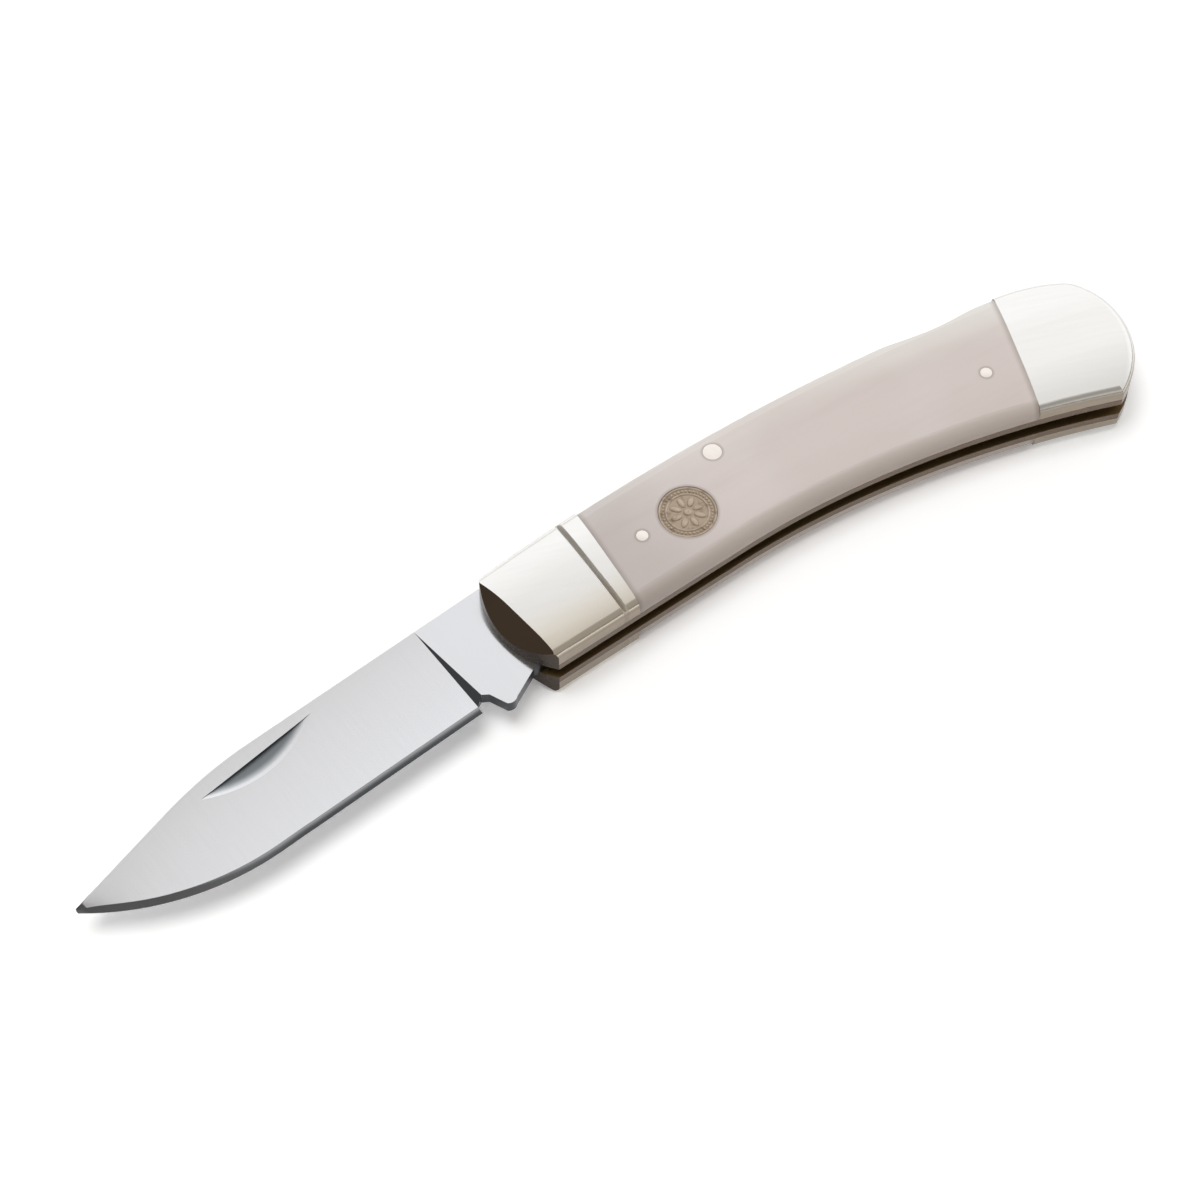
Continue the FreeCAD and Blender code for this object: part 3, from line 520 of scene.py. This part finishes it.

# %% [markdown]
# ## The nail nick
# The nick is a crescent that a small wheel sinks into the flat. Its floor is matt, and darkened
# with painted shade that grows with depth. Its shape is real, so the finish only needs to know
# what lies below the flat, within the nick's ends and under its top wall.

# %% Mask: floor of the nick
NICK_REACH = (-50.3 * MM, -32.9 * MM)
NICK_TOP = 7.1 * MM
NICK_DEPTH = (0.07 * MM, 0.12 * MM)
NICK_FLOOR = 0.3 * MM
MARK_SIDE = (0.2 * MM, 0.25 * MM)
SOFT = 0.1 * MM
sunk = remap(tree, level, *MARK_SIDE)
for limit in (
    remap(tree, reach, NICK_REACH[0], NICK_REACH[0] + SOFT),
    fade(tree, reach, NICK_REACH[1] - SOFT, NICK_REACH[1]),
    fade(tree, width, NICK_TOP - SOFT, NICK_TOP),
    remap(tree, depth, *NICK_DEPTH),
):
    sunk = both(tree, sunk, limit)
# painted shade on the nick's floor, growing with depth
nick_floor_shade = both(tree, sunk, remap(tree, depth, 0.0, NICK_FLOOR))
print("nick from", in_mm(*NICK_REACH))

# %% [markdown]
# ## The plunge wall
# Where the grinding wheel stops, it leaves a small slanted wall that looks to the tip. Its colour
# is darkened with painted shade. The way it looks tells it from the flats, and its place tells
# it from the ends of the nick.

# %% Mask: plunge wall
PLUNGE_REACH = -16.5 * MM
PLUNGE_ROOM = (PLUNGE_REACH - 1.0 * MM, PLUNGE_REACH - 0.8 * MM)
PLUNGE_FACING = (-0.46, -0.3)
facing = split(tree, surface(tree, "Normal"))
near_plunge = remap(tree, reach, *PLUNGE_ROOM)
plunge = both(tree, near_plunge, fade(tree, facing["X"], *PLUNGE_FACING))
print("plunge at", in_mm(PLUNGE_REACH))

# %% [markdown]
# ## The blade's colours
# The sharpened bevel is darkened with painted shade, most toward the edge, and the depth gives
# that fade. Round the belly of the blade the bevel's painted shade is a little lighter. The walls
# of the outline are darkened with painted shade and lightened along the spine with a painted
# reflection. As on the bolsters, a chain of mixes joins the finishes.

# %% Colour: blade
BEVEL_SHADE = 0.13 * MM
BELLY_REACH = (-56.0 * MM, -40.0 * MM)
SPINE_FACING = (0.1, 0.5)
OUTLINE_PAINTED_SHADE = ((62, 65, 69), (50, 53, 56))
# painted shade on the bevel: lighter round the belly and toward its top, darkest toward the edge
bevel_painted_shade = mix(tree, remap(tree, reach, *BELLY_REACH), rgb(112, 114, 117), bevel_painted_shade)
bevel_painted_shade = mix(tree, remap(tree, depth, 0.0, BEVEL_SHADE), rgb(172, 174, 177), bevel_painted_shade)
steel = mix(tree, on_flat, bevel_painted_shade, ground)
edge = both(tree, lean["Mask"], maths(tree, "SUBTRACT", 1.0, sunk))
# painted shade on the sanded outline, and a painted reflection that lightens it along the spine
sanded_painted_shade = two_tone(tree, wear["Wear"], *OUTLINE_PAINTED_SHADE)
sanded_painted_shade = mix(tree, remap(tree, facing["Y"], *SPINE_FACING), sanded_painted_shade, rgb(150, 152, 155))
# the plunge wall is darkened with painted shade, and the sanded outline takes its painted shade
steel = mix(tree, edge, mix(tree, plunge, steel, rgb(84, 88, 93)), sanded_painted_shade)
# the nick's floor is darkened with painted shade
put(tree, shader["Base Color"], mix(tree, nick_floor_shade, steel, rgb(120, 125, 128)))
print("bevel fades over", in_mm(BEVEL_SHADE))

# %% [markdown]
# ## Hollow grind
# The flats are ground on a wheel, so each is a shallow hollow: a little darker under the spine,
# brighter toward the edge. The hollow is only hundredths of a millimetre deep, so it is a bump
# too, a curve across the blade that stops at the plunge line where the unground ricasso starts.
# A height that ended there would show as a step, so the two normals are mixed instead.

# %% Roughness and bump: blade
GROUND_ROUGH, OUTLINE_ROUGH, MILLED_ROUGH = 0.16, 0.28, 0.42
HOLLOW_CURVE = 9.0
HOLLOW_MIDDLE = 1.8 * MM
HOLLOW_END = (PLUNGE_REACH - 0.05 * MM, PLUNGE_REACH + 0.05 * MM)
matt = maths(tree, "MULTIPLY", sunk, MILLED_ROUGH)
satin = remap(tree, edge, 0.0, 1.0, GROUND_ROUGH, OUTLINE_ROUGH)
put(tree, shader["Roughness"], maths(tree, "MAXIMUM", satin, matt))
hollow = curve_bump(tree, width, HOLLOW_MIDDLE, HOLLOW_CURVE, wear["Normal"])
on_flats = fade(tree, reach, *HOLLOW_END)
put(tree, shader["Normal"], mix(tree, on_flats, wear["Normal"], hollow, kind="VECTOR"))
dress(blade_steel, "blade")

# %% [markdown]
# ## Liners
# The liners are plain sheet. Their edges are sanded flush with the scales and show lines that
# run along the handle, and their colour there is darkened with painted shade, most under the nose,
# while their inner faces keep the dull yellow of the rolled sheet, which gives the blade's slot
# its brown depth.

# %% Material: liners
ROLLED = ((130, 108, 74), (114, 94, 62))
LINER_EDGE_PAINTED_SHADE = ((111, 96, 82), (93, 79, 67))
ROLLED_DULL = 0.25
liner_metal, tree, shader = new_material("liner_metal", Metallic=1.0)
wear = use_group(tree, scratches, Turn=0.0, Fine=3000.0, Stretch=0.02, Depth=0.02)
edge = use_group(tree, upright)["Mask"]
rolled = two_tone(tree, wear["Wear"], *ROLLED)
# painted shade: the dark tones of the sanded edges, darker still in the corner under the nose
sanded_painted_shade = two_tone(tree, wear["Wear"], *LINER_EDGE_PAINTED_SHADE)
sanded_painted_shade = mix(tree, use_group(tree, forward)["Corner"], sanded_painted_shade, rgb(58, 48, 40))
put(tree, shader["Base Color"], mix(tree, edge, rolled, sanded_painted_shade))
satin = scratched(tree, wear, 0.22, 0.34)
duller = remap(tree, edge, 0.0, 1.0, ROLLED_DULL, 0.0)
put(tree, shader["Roughness"], maths(tree, "ADD", satin, duller))
put(tree, shader["Normal"], wear["Normal"])
dress(liner_metal, "mark_liner", "pile_liner")

# %% [markdown]
# ## Lock bar, spring and spacer
# These are hardened steel, greyer than the bolsters, and satin where the back of the knife is
# sanded. They show along the back and through the slot, so they share one finish with lines
# along the handle.

# %% Material: lock bar, spring and spacer
HARDENED = ((200, 194, 186), (178, 172, 163))
spring_steel, tree, shader = new_material("spring_steel", Metallic=1.0)
wear = use_group(tree, scratches, Turn=0.0, Fine=2600.0, Stretch=0.03, Depth=0.02)
put(tree, shader["Base Color"], two_tone(tree, wear["Wear"], *HARDENED))
put(tree, shader["Roughness"], scratched(tree, wear, 0.24, 0.34))
put(tree, shader["Normal"], wear["Normal"])
dress(spring_steel, "lock_bar", "lock_spring", "butt_spacer")

# %% [markdown]
# ## Painted shade round a pin
# The bone is darkened a little round each pin and round the inlay, where bone meets metal, with
# painted shade. A pin's place and radius are known, so the painted shade is a distance from its
# rim.

# %% Group: painted shade round an upright pin
pin_shade_group, given, made = new_group(
    "pin_painted_shade",
    [
        ("Centre", "NodeSocketVector", (0.0, 0.0, 0.0)),
        ("Radius", "NodeSocketFloat", 1.0 * MM),
        ("Width", "NodeSocketFloat", 0.5 * MM),
    ],
    [("Mask", "NodeSocketFloat")],
)
offset = vector_maths(pin_shade_group, "SUBTRACT", "Vector", surface(pin_shade_group, "Object"), given["Centre"])
level_offset = vector_maths(pin_shade_group, "MULTIPLY", "Vector", offset, (1.0, 1.0, 0.0))
away = vector_maths(pin_shade_group, "LENGTH", "Value", level_offset)
share = maths(pin_shade_group, "DIVIDE", maths(pin_shade_group, "SUBTRACT", away, given["Radius"]), given["Width"])
put(pin_shade_group, made["Mask"], fade(pin_shade_group, share, 0.0, 1.0))
print("group", pin_shade_group.name)

# %% [markdown]
# ## Bone
# Smooth bone is a creamy grey with faint streaks along its length. An even colour would look like
# plastic, and a picture of bone would show its edges, so two noises of different size give
# clouds and streaks.

# %% Material: bone, clouds and streaks
CREAM = ((210, 200, 196), (205, 194, 189))
ALONG_BONE = (0.12, 1.0, 1.0)
CLOUD_SPREAD = (0.35, 0.65)
STREAK_SPREAD = (0.45, 0.75)
STREAK_SHARE = 0.25
bone, tree, shader = new_material(
    "bone", Roughness=0.34, Specular_IOR_Level=0.5, Coat_Weight=0.15, Coat_Roughness=0.15
)
place = surface(tree, "Object")
stretched = add(tree, "ShaderNodeMapping", Vector=place, Scale=ALONG_BONE).outputs["Vector"]
streaks = noise(tree, stretched, Scale=420.0, Detail=4.0, Roughness=0.55)
clouds = noise(tree, place, Scale=60.0, Detail=2.0)
tint = two_tone(tree, remap(tree, clouds, *CLOUD_SPREAD), *CREAM)
streaked = remap(tree, streaks, *STREAK_SPREAD, 0.0, STREAK_SHARE)
tint = mix(tree, streaked, tint, rgb(190, 178, 171))
print("bone clouds and streaks wired")

# %% [markdown]
# ## Where bone is greyer, or has painted highlight and shade
# It is greyer near the front bolster. Its rounded back is made paler with a painted highlight,
# most of all near the butt, and the belly is darkened a little toward yellow with painted shade.
# Painting a texture would do it once, for one side; plain distances and directions do it for both.
# Painting would do it once, for one side; plain distances and directions do it for both.

# %% Colour: bone
GREYER_REACH = (6.0 * MM, 26.0 * MM)
GREYER_SHARE = 0.4
BUTT_REACH = (30.0 * MM, 62.0 * MM)
HIGHLIGHT_SHARE = (0.25, 0.6)
BACK_FACING = (-0.02, 0.2)
BELLY_FACING = (-0.45, 0.0)
BELLY_SHADE_SHARE = 0.3
from_pivot = past_pivot(tree)
toward_butt = split(tree, from_pivot)["X"]
# greyer toward the front bolster
greyer_front = remap(tree, toward_butt, *GREYER_REACH, GREYER_SHARE, 0.0)
tint = mix(tree, greyer_front, tint, rgb(152, 144, 143))
to_back = split(tree, surface(tree, "Normal"))["Y"]
# painted highlight along the rounded back, most near the butt
back_painted_highlight = remap(tree, toward_butt, *BUTT_REACH, *HIGHLIGHT_SHARE)
back_painted_highlight = both(tree, remap(tree, to_back, *BACK_FACING), back_painted_highlight)
tint = mix(tree, back_painted_highlight, tint, rgb(236, 236, 231))
# painted shade along the belly
belly_painted_shade = remap(tree, to_back, *BELLY_FACING, BELLY_SHADE_SHARE, 0.0)
tint = mix(tree, belly_painted_shade, tint, rgb(150, 140, 120))
print("bone tints wired")

# %% [markdown]
# ## Painted shade along the joints
# The two joints with the bolsters are lines across the handle, the rear one at a slant. The bone
# is darkened along them with painted shade. The distance to a line is a dot product with the
# direction across it, and the same soft mask as round the pins does the rest.

# %% Painted shade: joints with the bolsters
FRONT_JOINT = 7.0 * MM
REAR_JOINT = 67.3 * MM
REAR_JOINT_ANGLE = math.radians(15.6)
JOINT_SHADE_WIDTH = 0.9 * MM
PAINTED_SHADE_SHARE = 0.45
front_gap = maths(tree, "SUBTRACT", toward_butt, FRONT_JOINT)
across_joint = (math.cos(REAR_JOINT_ANGLE), -math.sin(REAR_JOINT_ANGLE), 0.0)
rear_reach = vector_maths(tree, "DOT_PRODUCT", "Value", from_pivot, across_joint)
rear_gap = maths(tree, "SUBTRACT", REAR_JOINT * math.cos(REAR_JOINT_ANGLE), rear_reach)
nearest = maths(tree, "MINIMUM", front_gap, rear_gap)
# painted shade along the joints with the bolsters
bone_painted_shade = remap(tree, nearest, 0.0, JOINT_SHADE_WIDTH, PAINTED_SHADE_SHARE, 0.0)
print("joints at", in_mm(FRONT_JOINT, REAR_JOINT))

# %% [markdown]
# ## Painted shade round pins and inlay
# Each pin and the inlay is a circle of known place and size, so the group from before is placed
# once for each, and the strongest painted shade wins. The inlay's circle is read from its exact
# shape.

# %% Painted shade: pins and inlay
PIN_RADIUS = 0.75 * MM
ROCKER_PIN_RADIUS = 1.2 * MM
PIN_SHADE_WIDTH = 0.45 * MM
low, high = (Vector(corner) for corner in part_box("inlay_disc"))
inlay_centre = (low + high) / 2
inlay_radius = (high.x - low.x) / 2
inlay_top = high.z
for centre, radius in (
    (at(12.2, 1.4), PIN_RADIUS),
    (at(62.1, -0.2), PIN_RADIUS),
    (rocker, ROCKER_PIN_RADIUS),
    (inlay_centre, inlay_radius),
):
    ring = use_group(tree, pin_shade_group, Centre=centre, Radius=radius, Width=PIN_SHADE_WIDTH)["Mask"]
    bone_painted_shade = maths(tree, "MAXIMUM", bone_painted_shade, maths(tree, "MULTIPLY", ring, PAINTED_SHADE_SHARE))
# the bone is darkened with painted shade round pins, inlay and joints
put(tree, shader["Base Color"], mix(tree, bone_painted_shade, tint, rgb(120, 106, 96)))
dress(bone, "mark_scale", "pile_scale")

# %% [markdown]
# ## Finish of the inlay
# The small disc is struck metal. Its hollows keep a brown patina and its raised parts are rubbed
# bright. Painting that by hand would have to follow every petal, so the colour follows the
# height above the field instead. A blotchy noise adds tarnish.

# %% Material: inlay
INLAY_SINK = 0.14 * MM
PATINA = ((173, 157, 140), (150, 134, 116))
RUBBED = ((193, 177, 159), (176, 159, 141))
TARNISH_SPREAD = (0.5, 0.66)
TARNISH_SHARE = 0.6
inlay_metal, tree, shader = new_material("inlay_metal", Metallic=1.0)
wear = use_group(tree, scratches, Turn=0.8, Fine=1500.0, Stretch=0.5, Depth=0.02)
place = surface(tree, "Object")
rubbed = remap(tree, split(tree, place)["Z"], inlay_top - INLAY_SINK, inlay_top - INLAY_SINK * 0.25)
patina = two_tone(tree, wear["Wear"], *PATINA)
bright = two_tone(tree, wear["Wear"], *RUBBED)
blotches = noise(tree, place, Scale=1100.0, Detail=4.0, Roughness=0.6)
tarnish = remap(tree, blotches, *TARNISH_SPREAD, 0.0, TARNISH_SHARE)
struck = mix(tree, rubbed, patina, bright)
put(tree, shader["Base Color"], mix(tree, tarnish, struck, rgb(124, 107, 90)))
put(tree, shader["Roughness"], scratched(tree, wear, 0.32, 0.46))
put(tree, shader["Normal"], wear["Normal"])
dress(inlay_metal, "inlay_disc")

# %% [markdown]
# ## Making a new piece
# A piece that only shows starts as an empty bmesh, which a shape function fills with operators.
# One helper turns the result into an object and gives it its finish. Another closes a spun
# shape and turns its faces outwards.

# %% Helpers: a new piece from a bmesh
MERGE_WITHIN = 0.001 * MM


def new_piece(name, fill_shape, material):
    """Makes an object from a bmesh, with a material."""
    shape = bmesh.new()
    fill_shape(shape)
    mesh = bpy.data.meshes.new(name)
    shape.to_mesh(mesh)
    shape.free()
    mesh.materials.append(material)
    piece = bpy.data.objects.new(name, mesh)
    bpy.context.scene.collection.objects.link(piece)
    print("piece", name, "faces", len(mesh.polygons))
    return piece


def close_shape(shape):
    """Merges doubled points, then turns all faces outwards."""
    bmesh.ops.remove_doubles(shape, verts=shape.verts, dist=MERGE_WITHIN)
    bmesh.ops.recalc_face_normals(shape, faces=shape.faces)


print("piece helpers ready")

# %% [markdown]
# ## The struck disc
# A die leaves low rounded forms on the disc: a thin rim, one ring and a small boss. All three
# are round, so the whole disc is one profile spun once about its centre, which is closed
# and light.

# %% Piece: disc with rim, ring and boss
DISC_STEPS = 96
INLAY_PROFILE = [
    (0.0, -0.02), (0.35, -0.05), (0.6, -0.14),
    (2.45, -0.14), (2.6, -0.07), (2.72, -0.07), (2.87, -0.14),
    (3.3, -0.14), (3.46, -0.04), (3.6, -0.03), (3.7, -0.1),
    (3.7, -1.0), (0.0, -1.0),
]


def struck_disc(shape):
    """The profile, radius and height from the top in millimetres, spun once round."""
    corners = [
        shape.verts.new((inlay_centre.x + radius * MM, inlay_centre.y, inlay_top + height * MM))
        for radius, height in INLAY_PROFILE
    ]
    lines = [shape.edges.new(pair) for pair in zip(corners, corners[1:])]
    bmesh.ops.spin(
        shape, geom=corners + lines, cent=(inlay_centre.x, inlay_centre.y, 0.0), axis=(0, 0, 1),
        angle=math.tau, steps=DISC_STEPS, use_merge=True,
    )
    close_shape(shape)


disc = new_piece("struck_inlay", struck_disc, inlay_metal)
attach(disc, "handle")
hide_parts("inlay_disc")

# %% [markdown]
# ## Rosette and beads
# A plain rosette inside a row of beads is a common ornament, and it catches the light at this
# size. Each petal and bead is a ball, flattened and half sunk in the field, so one loop with
# four sizes makes them all.

# %% Piece: rosette and beads
BALL = {"u_segments": 16, "v_segments": 10, "radius": 1.0}
RELIEF = (
    # count, distance from the centre, then length, width and height of one form
    (8, 1.55, 0.8, 0.42, 0.11),
    (40, 3.08, 0.2, 0.2, 0.1),
)


def struck_relief(shape):
    """Petals and beads, each a flattened ball at its place round the disc."""
    field = Matrix.Translation((inlay_centre.x, inlay_centre.y, inlay_top - INLAY_SINK))
    for count, away, *sizes in RELIEF:
        flattened = Matrix.Diagonal((*(size * MM for size in sizes), 1.0))
        ball = Matrix.Translation((away * MM, 0, 0)) @ flattened
        for index in range(count):
            spot = field @ Matrix.Rotation(index * math.tau / count, 4, "Z") @ ball
            bmesh.ops.create_uvsphere(shape, matrix=spot, **BALL)
    for face in shape.faces:
        face.smooth = True


relief = new_piece("inlay_relief", struck_relief, inlay_metal)
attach(relief, "handle")

# %% [markdown]
# ## The lock spring, in short steps
# The flat spring is fixed in the spacer and follows the lock bar's tail at its free end. A stiff
# copy can't do both, so the leaf is made again with many short steps: a section spun along its
# arc, its root drawn out straight. Its sizes are read from the exact spring, whose arc leaves
# the spacer level.

# %% Sizes of the leaf
SPRING_THICK = 0.9 * MM
low, high = (Vector(corner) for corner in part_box("lock_spring"))
root_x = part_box("butt_spacer")[0][0]
leaf_reach = root_x - low.x
leaf_rise = high.y - low.y - SPRING_THICK
leaf_run = leaf_reach / (1 + 2 * leaf_rise * SPRING_THICK / (leaf_reach ** 2 + leaf_rise ** 2))
leaf_radius = (leaf_run ** 2 + leaf_rise ** 2) / (2 * leaf_rise)
leaf_angle = math.asin(leaf_run / leaf_radius)
print("leaf reach and radius", in_mm(leaf_run, leaf_radius))

# %% [markdown]
# ## The leaf itself
# Spinning a section along an arc gives evenly spaced steps that can bend.

# %% Piece: leaf in short steps
LEAF_STEPS = 32


def bending_leaf(shape):
    """A leaf spun along its arc from the root, which is then drawn out straight."""
    top_y = low.y + SPRING_THICK
    outline = ((low.y, low.z), (top_y, low.z), (top_y, high.z), (low.y, high.z))
    section = shape.faces.new([shape.verts.new((root_x, y, z)) for y, z in outline])
    root = bmesh.ops.extrude_face_region(shape, geom=[section], use_keep_orig=True)
    moved = [item for item in root["geom"] if isinstance(item, bmesh.types.BMVert)]
    bmesh.ops.translate(shape, verts=moved, vec=(high.x - root_x, 0.0, 0.0))
    bmesh.ops.spin(
        shape, geom=[section], cent=(root_x, top_y + leaf_radius, 0.0), axis=(0, 0, 1),
        angle=-leaf_angle, steps=LEAF_STEPS, use_duplicate=False,
    )
    close_shape(shape)


leaf = new_piece("bending_leaf", bending_leaf, spring_steel)
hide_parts("lock_spring")
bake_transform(leaf)

# %% [markdown]
# ## Table
# The knife lies on a white sheet. It is only a flat grid, far wider than the view, so that its
# edge never shows.

# %% Table
TABLE_HALF = 3.0
grid = bmesh.new()
bmesh.ops.create_grid(grid, x_segments=1, y_segments=1, size=TABLE_HALF)
table_mesh = bpy.data.meshes.new("table")
grid.to_mesh(table_mesh)
grid.free()
table = bpy.data.objects.new("table", table_mesh)
bpy.context.scene.collection.objects.link(table)
print("table", TABLE_HALF * 2, "m wide")

# %% [markdown]
# ## The white sheet
# To the camera and in the metal the sheet is white, and it keeps the knife's shadow, but the
# light that it throws back up is held down to a warm grey, so that the sanded sides stay as
# dark as they are. Light Path tells the two apart.

# %% Material: table
SHEET_BOUNCED = (0.6, 0.55, 0.51, 1.0)
SHEET_SEEN = (0.97, 0.97, 0.97, 1.0)
SHEET_GLOW = (0.15, 0.15, 0.15, 1.0)
BLACK = (0.0, 0.0, 0.0, 1.0)
table_white, tree, shader = new_material(
    "table_white", Roughness=0.9, Specular_IOR_Level=0.1, Emission_Strength=1.0
)
path = add(tree, "ShaderNodeLightPath").outputs
looked_at = maths(tree, "MAXIMUM", path["Is Camera Ray"], path["Is Glossy Ray"])
looked_at = maths(tree, "MAXIMUM", looked_at, path["Is Transmission Ray"])
put(tree, shader["Base Color"], mix(tree, looked_at, SHEET_BOUNCED, SHEET_SEEN))
put(tree, shader["Emission Color"], mix(tree, looked_at, BLACK, SHEET_GLOW))
table_mesh.materials.append(table_white)
print("material", table_white.name, "on the table")

# %% [markdown]
# ## What polished metal sees
# A mirror shows its room, so bolsters and blade need one: a white tent that is brightest behind
# the knife and to the right, dimmer over the camera and in front, and pale again on the far left,
# so that the knife is bright from behind. Lamps and cards could build it; a few soft ramps over
# the direction of a ray do the same, evenly and without noise.

# %% World: the mirrored tent
TO_RIGHT = 1.3
LIT_NEAR, LIT_FAR = (0.76, 0.745, 0.725, 1.0), (1.15, 1.15, 1.16, 1.0)
SHADE_NEAR, SHADE_FAR = (0.36, 0.34, 0.31, 1.0), (0.72, 0.71, 0.69, 1.0)
LOW_FRONT, LOW_BACK = (0.24, 0.21, 0.18, 1.0), (0.72, 0.72, 0.71, 1.0)
world = bpy.data.worlds.new("tent")
bpy.context.scene.world = world
world.use_nodes = True
tree = world.node_tree
way = add(tree, "ShaderNodeTexCoord").outputs["Generated"]
x, y, z = split(tree, way)
behind = maths(tree, "ADD", maths(tree, "MULTIPLY", x, TO_RIGHT), y)
lit_wall = mix(tree, remap(tree, behind, 0.4, 1.1, shape="LINEAR"), LIT_NEAR, LIT_FAR)
shade = mix(tree, fade(tree, behind, -0.95, -0.5), SHADE_NEAR, SHADE_FAR)
tent_wall = mix(tree, remap(tree, behind, 0.0, 0.45), shade, lit_wall)
horizon = mix(tree, remap(tree, y, -0.4, 0.6), LOW_FRONT, LOW_BACK)
mirrored_tent = mix(tree, remap(tree, z, 0.0, 0.35), horizon, tent_wall)
print("mirrored tent wired")

# %% [markdown]
# ## What lights the bone
# Bone takes its light from the whole tent at once: an even glow, a little stronger from behind,
# and a soft box that hangs almost straight overhead and keeps the shadow short and close to the
# knife. Its level is set so that a surface that looks up renders in about the colour that it is
# given. The camera sees plain white past the table.

# %% World: the soft tent
GLOW_FRONT, GLOW_BACK = (0.4, 0.38, 0.36, 1.0), (0.62, 0.62, 0.62, 1.0)
SOFT_BOX = (6.8, 6.8, 6.8, 1.0)
WHITE = (1.0, 1.0, 1.0, 1.0)
BOX_EDGE = (math.cos(math.radians(20.0)), math.cos(math.radians(12.0)))
overhead = Vector((-0.14, 0.06, 0.99)).normalized()
glow = mix(tree, remap(tree, y, -1.0, 1.0), GLOW_FRONT, GLOW_BACK)
height = vector_maths(tree, "DOT_PRODUCT", "Value", way, overhead)
soft_tent = mix(tree, remap(tree, height, *BOX_EDGE), glow, SOFT_BOX)
path = add(tree, "ShaderNodeLightPath").outputs
tent = mix(tree, path["Is Glossy Ray"], soft_tent, mirrored_tent)
background = tree.nodes["Background"].inputs["Color"]
put(tree, background, mix(tree, path["Is Camera Ray"], tent, WHITE))
print("tent ready")

# %% [markdown]
# ## Camera
# The view is from above the blade's edge, a little to the left. A long lens from far away keeps
# the handle from shrinking towards the butt, and the aim is a point on the table under the front
# of the handle.

# %% Camera
DISTANCE = 372.67 * MM
TO_CAMERA = Vector((-0.2653, -0.4415, 0.8572))
LENS, SENSOR_WIDTH = 90.0, 36.0
aim = at(6.031, 1.143, -4.8)
eye = aim + DISTANCE * TO_CAMERA
camera = bpy.data.objects.new("camera", bpy.data.cameras.new("camera"))
bpy.context.scene.collection.objects.link(camera)
bpy.context.scene.camera = camera
camera.data.lens = LENS
camera.data.sensor_width = SENSOR_WIDTH
camera.data.clip_start = 10.0 * MM
camera.location = eye
camera.rotation_euler = (aim - eye).to_track_quat("-Z", "Y").to_euler()
bpy.context.scene.view_settings.view_transform = "Standard"
print("camera", in_mm(*eye))
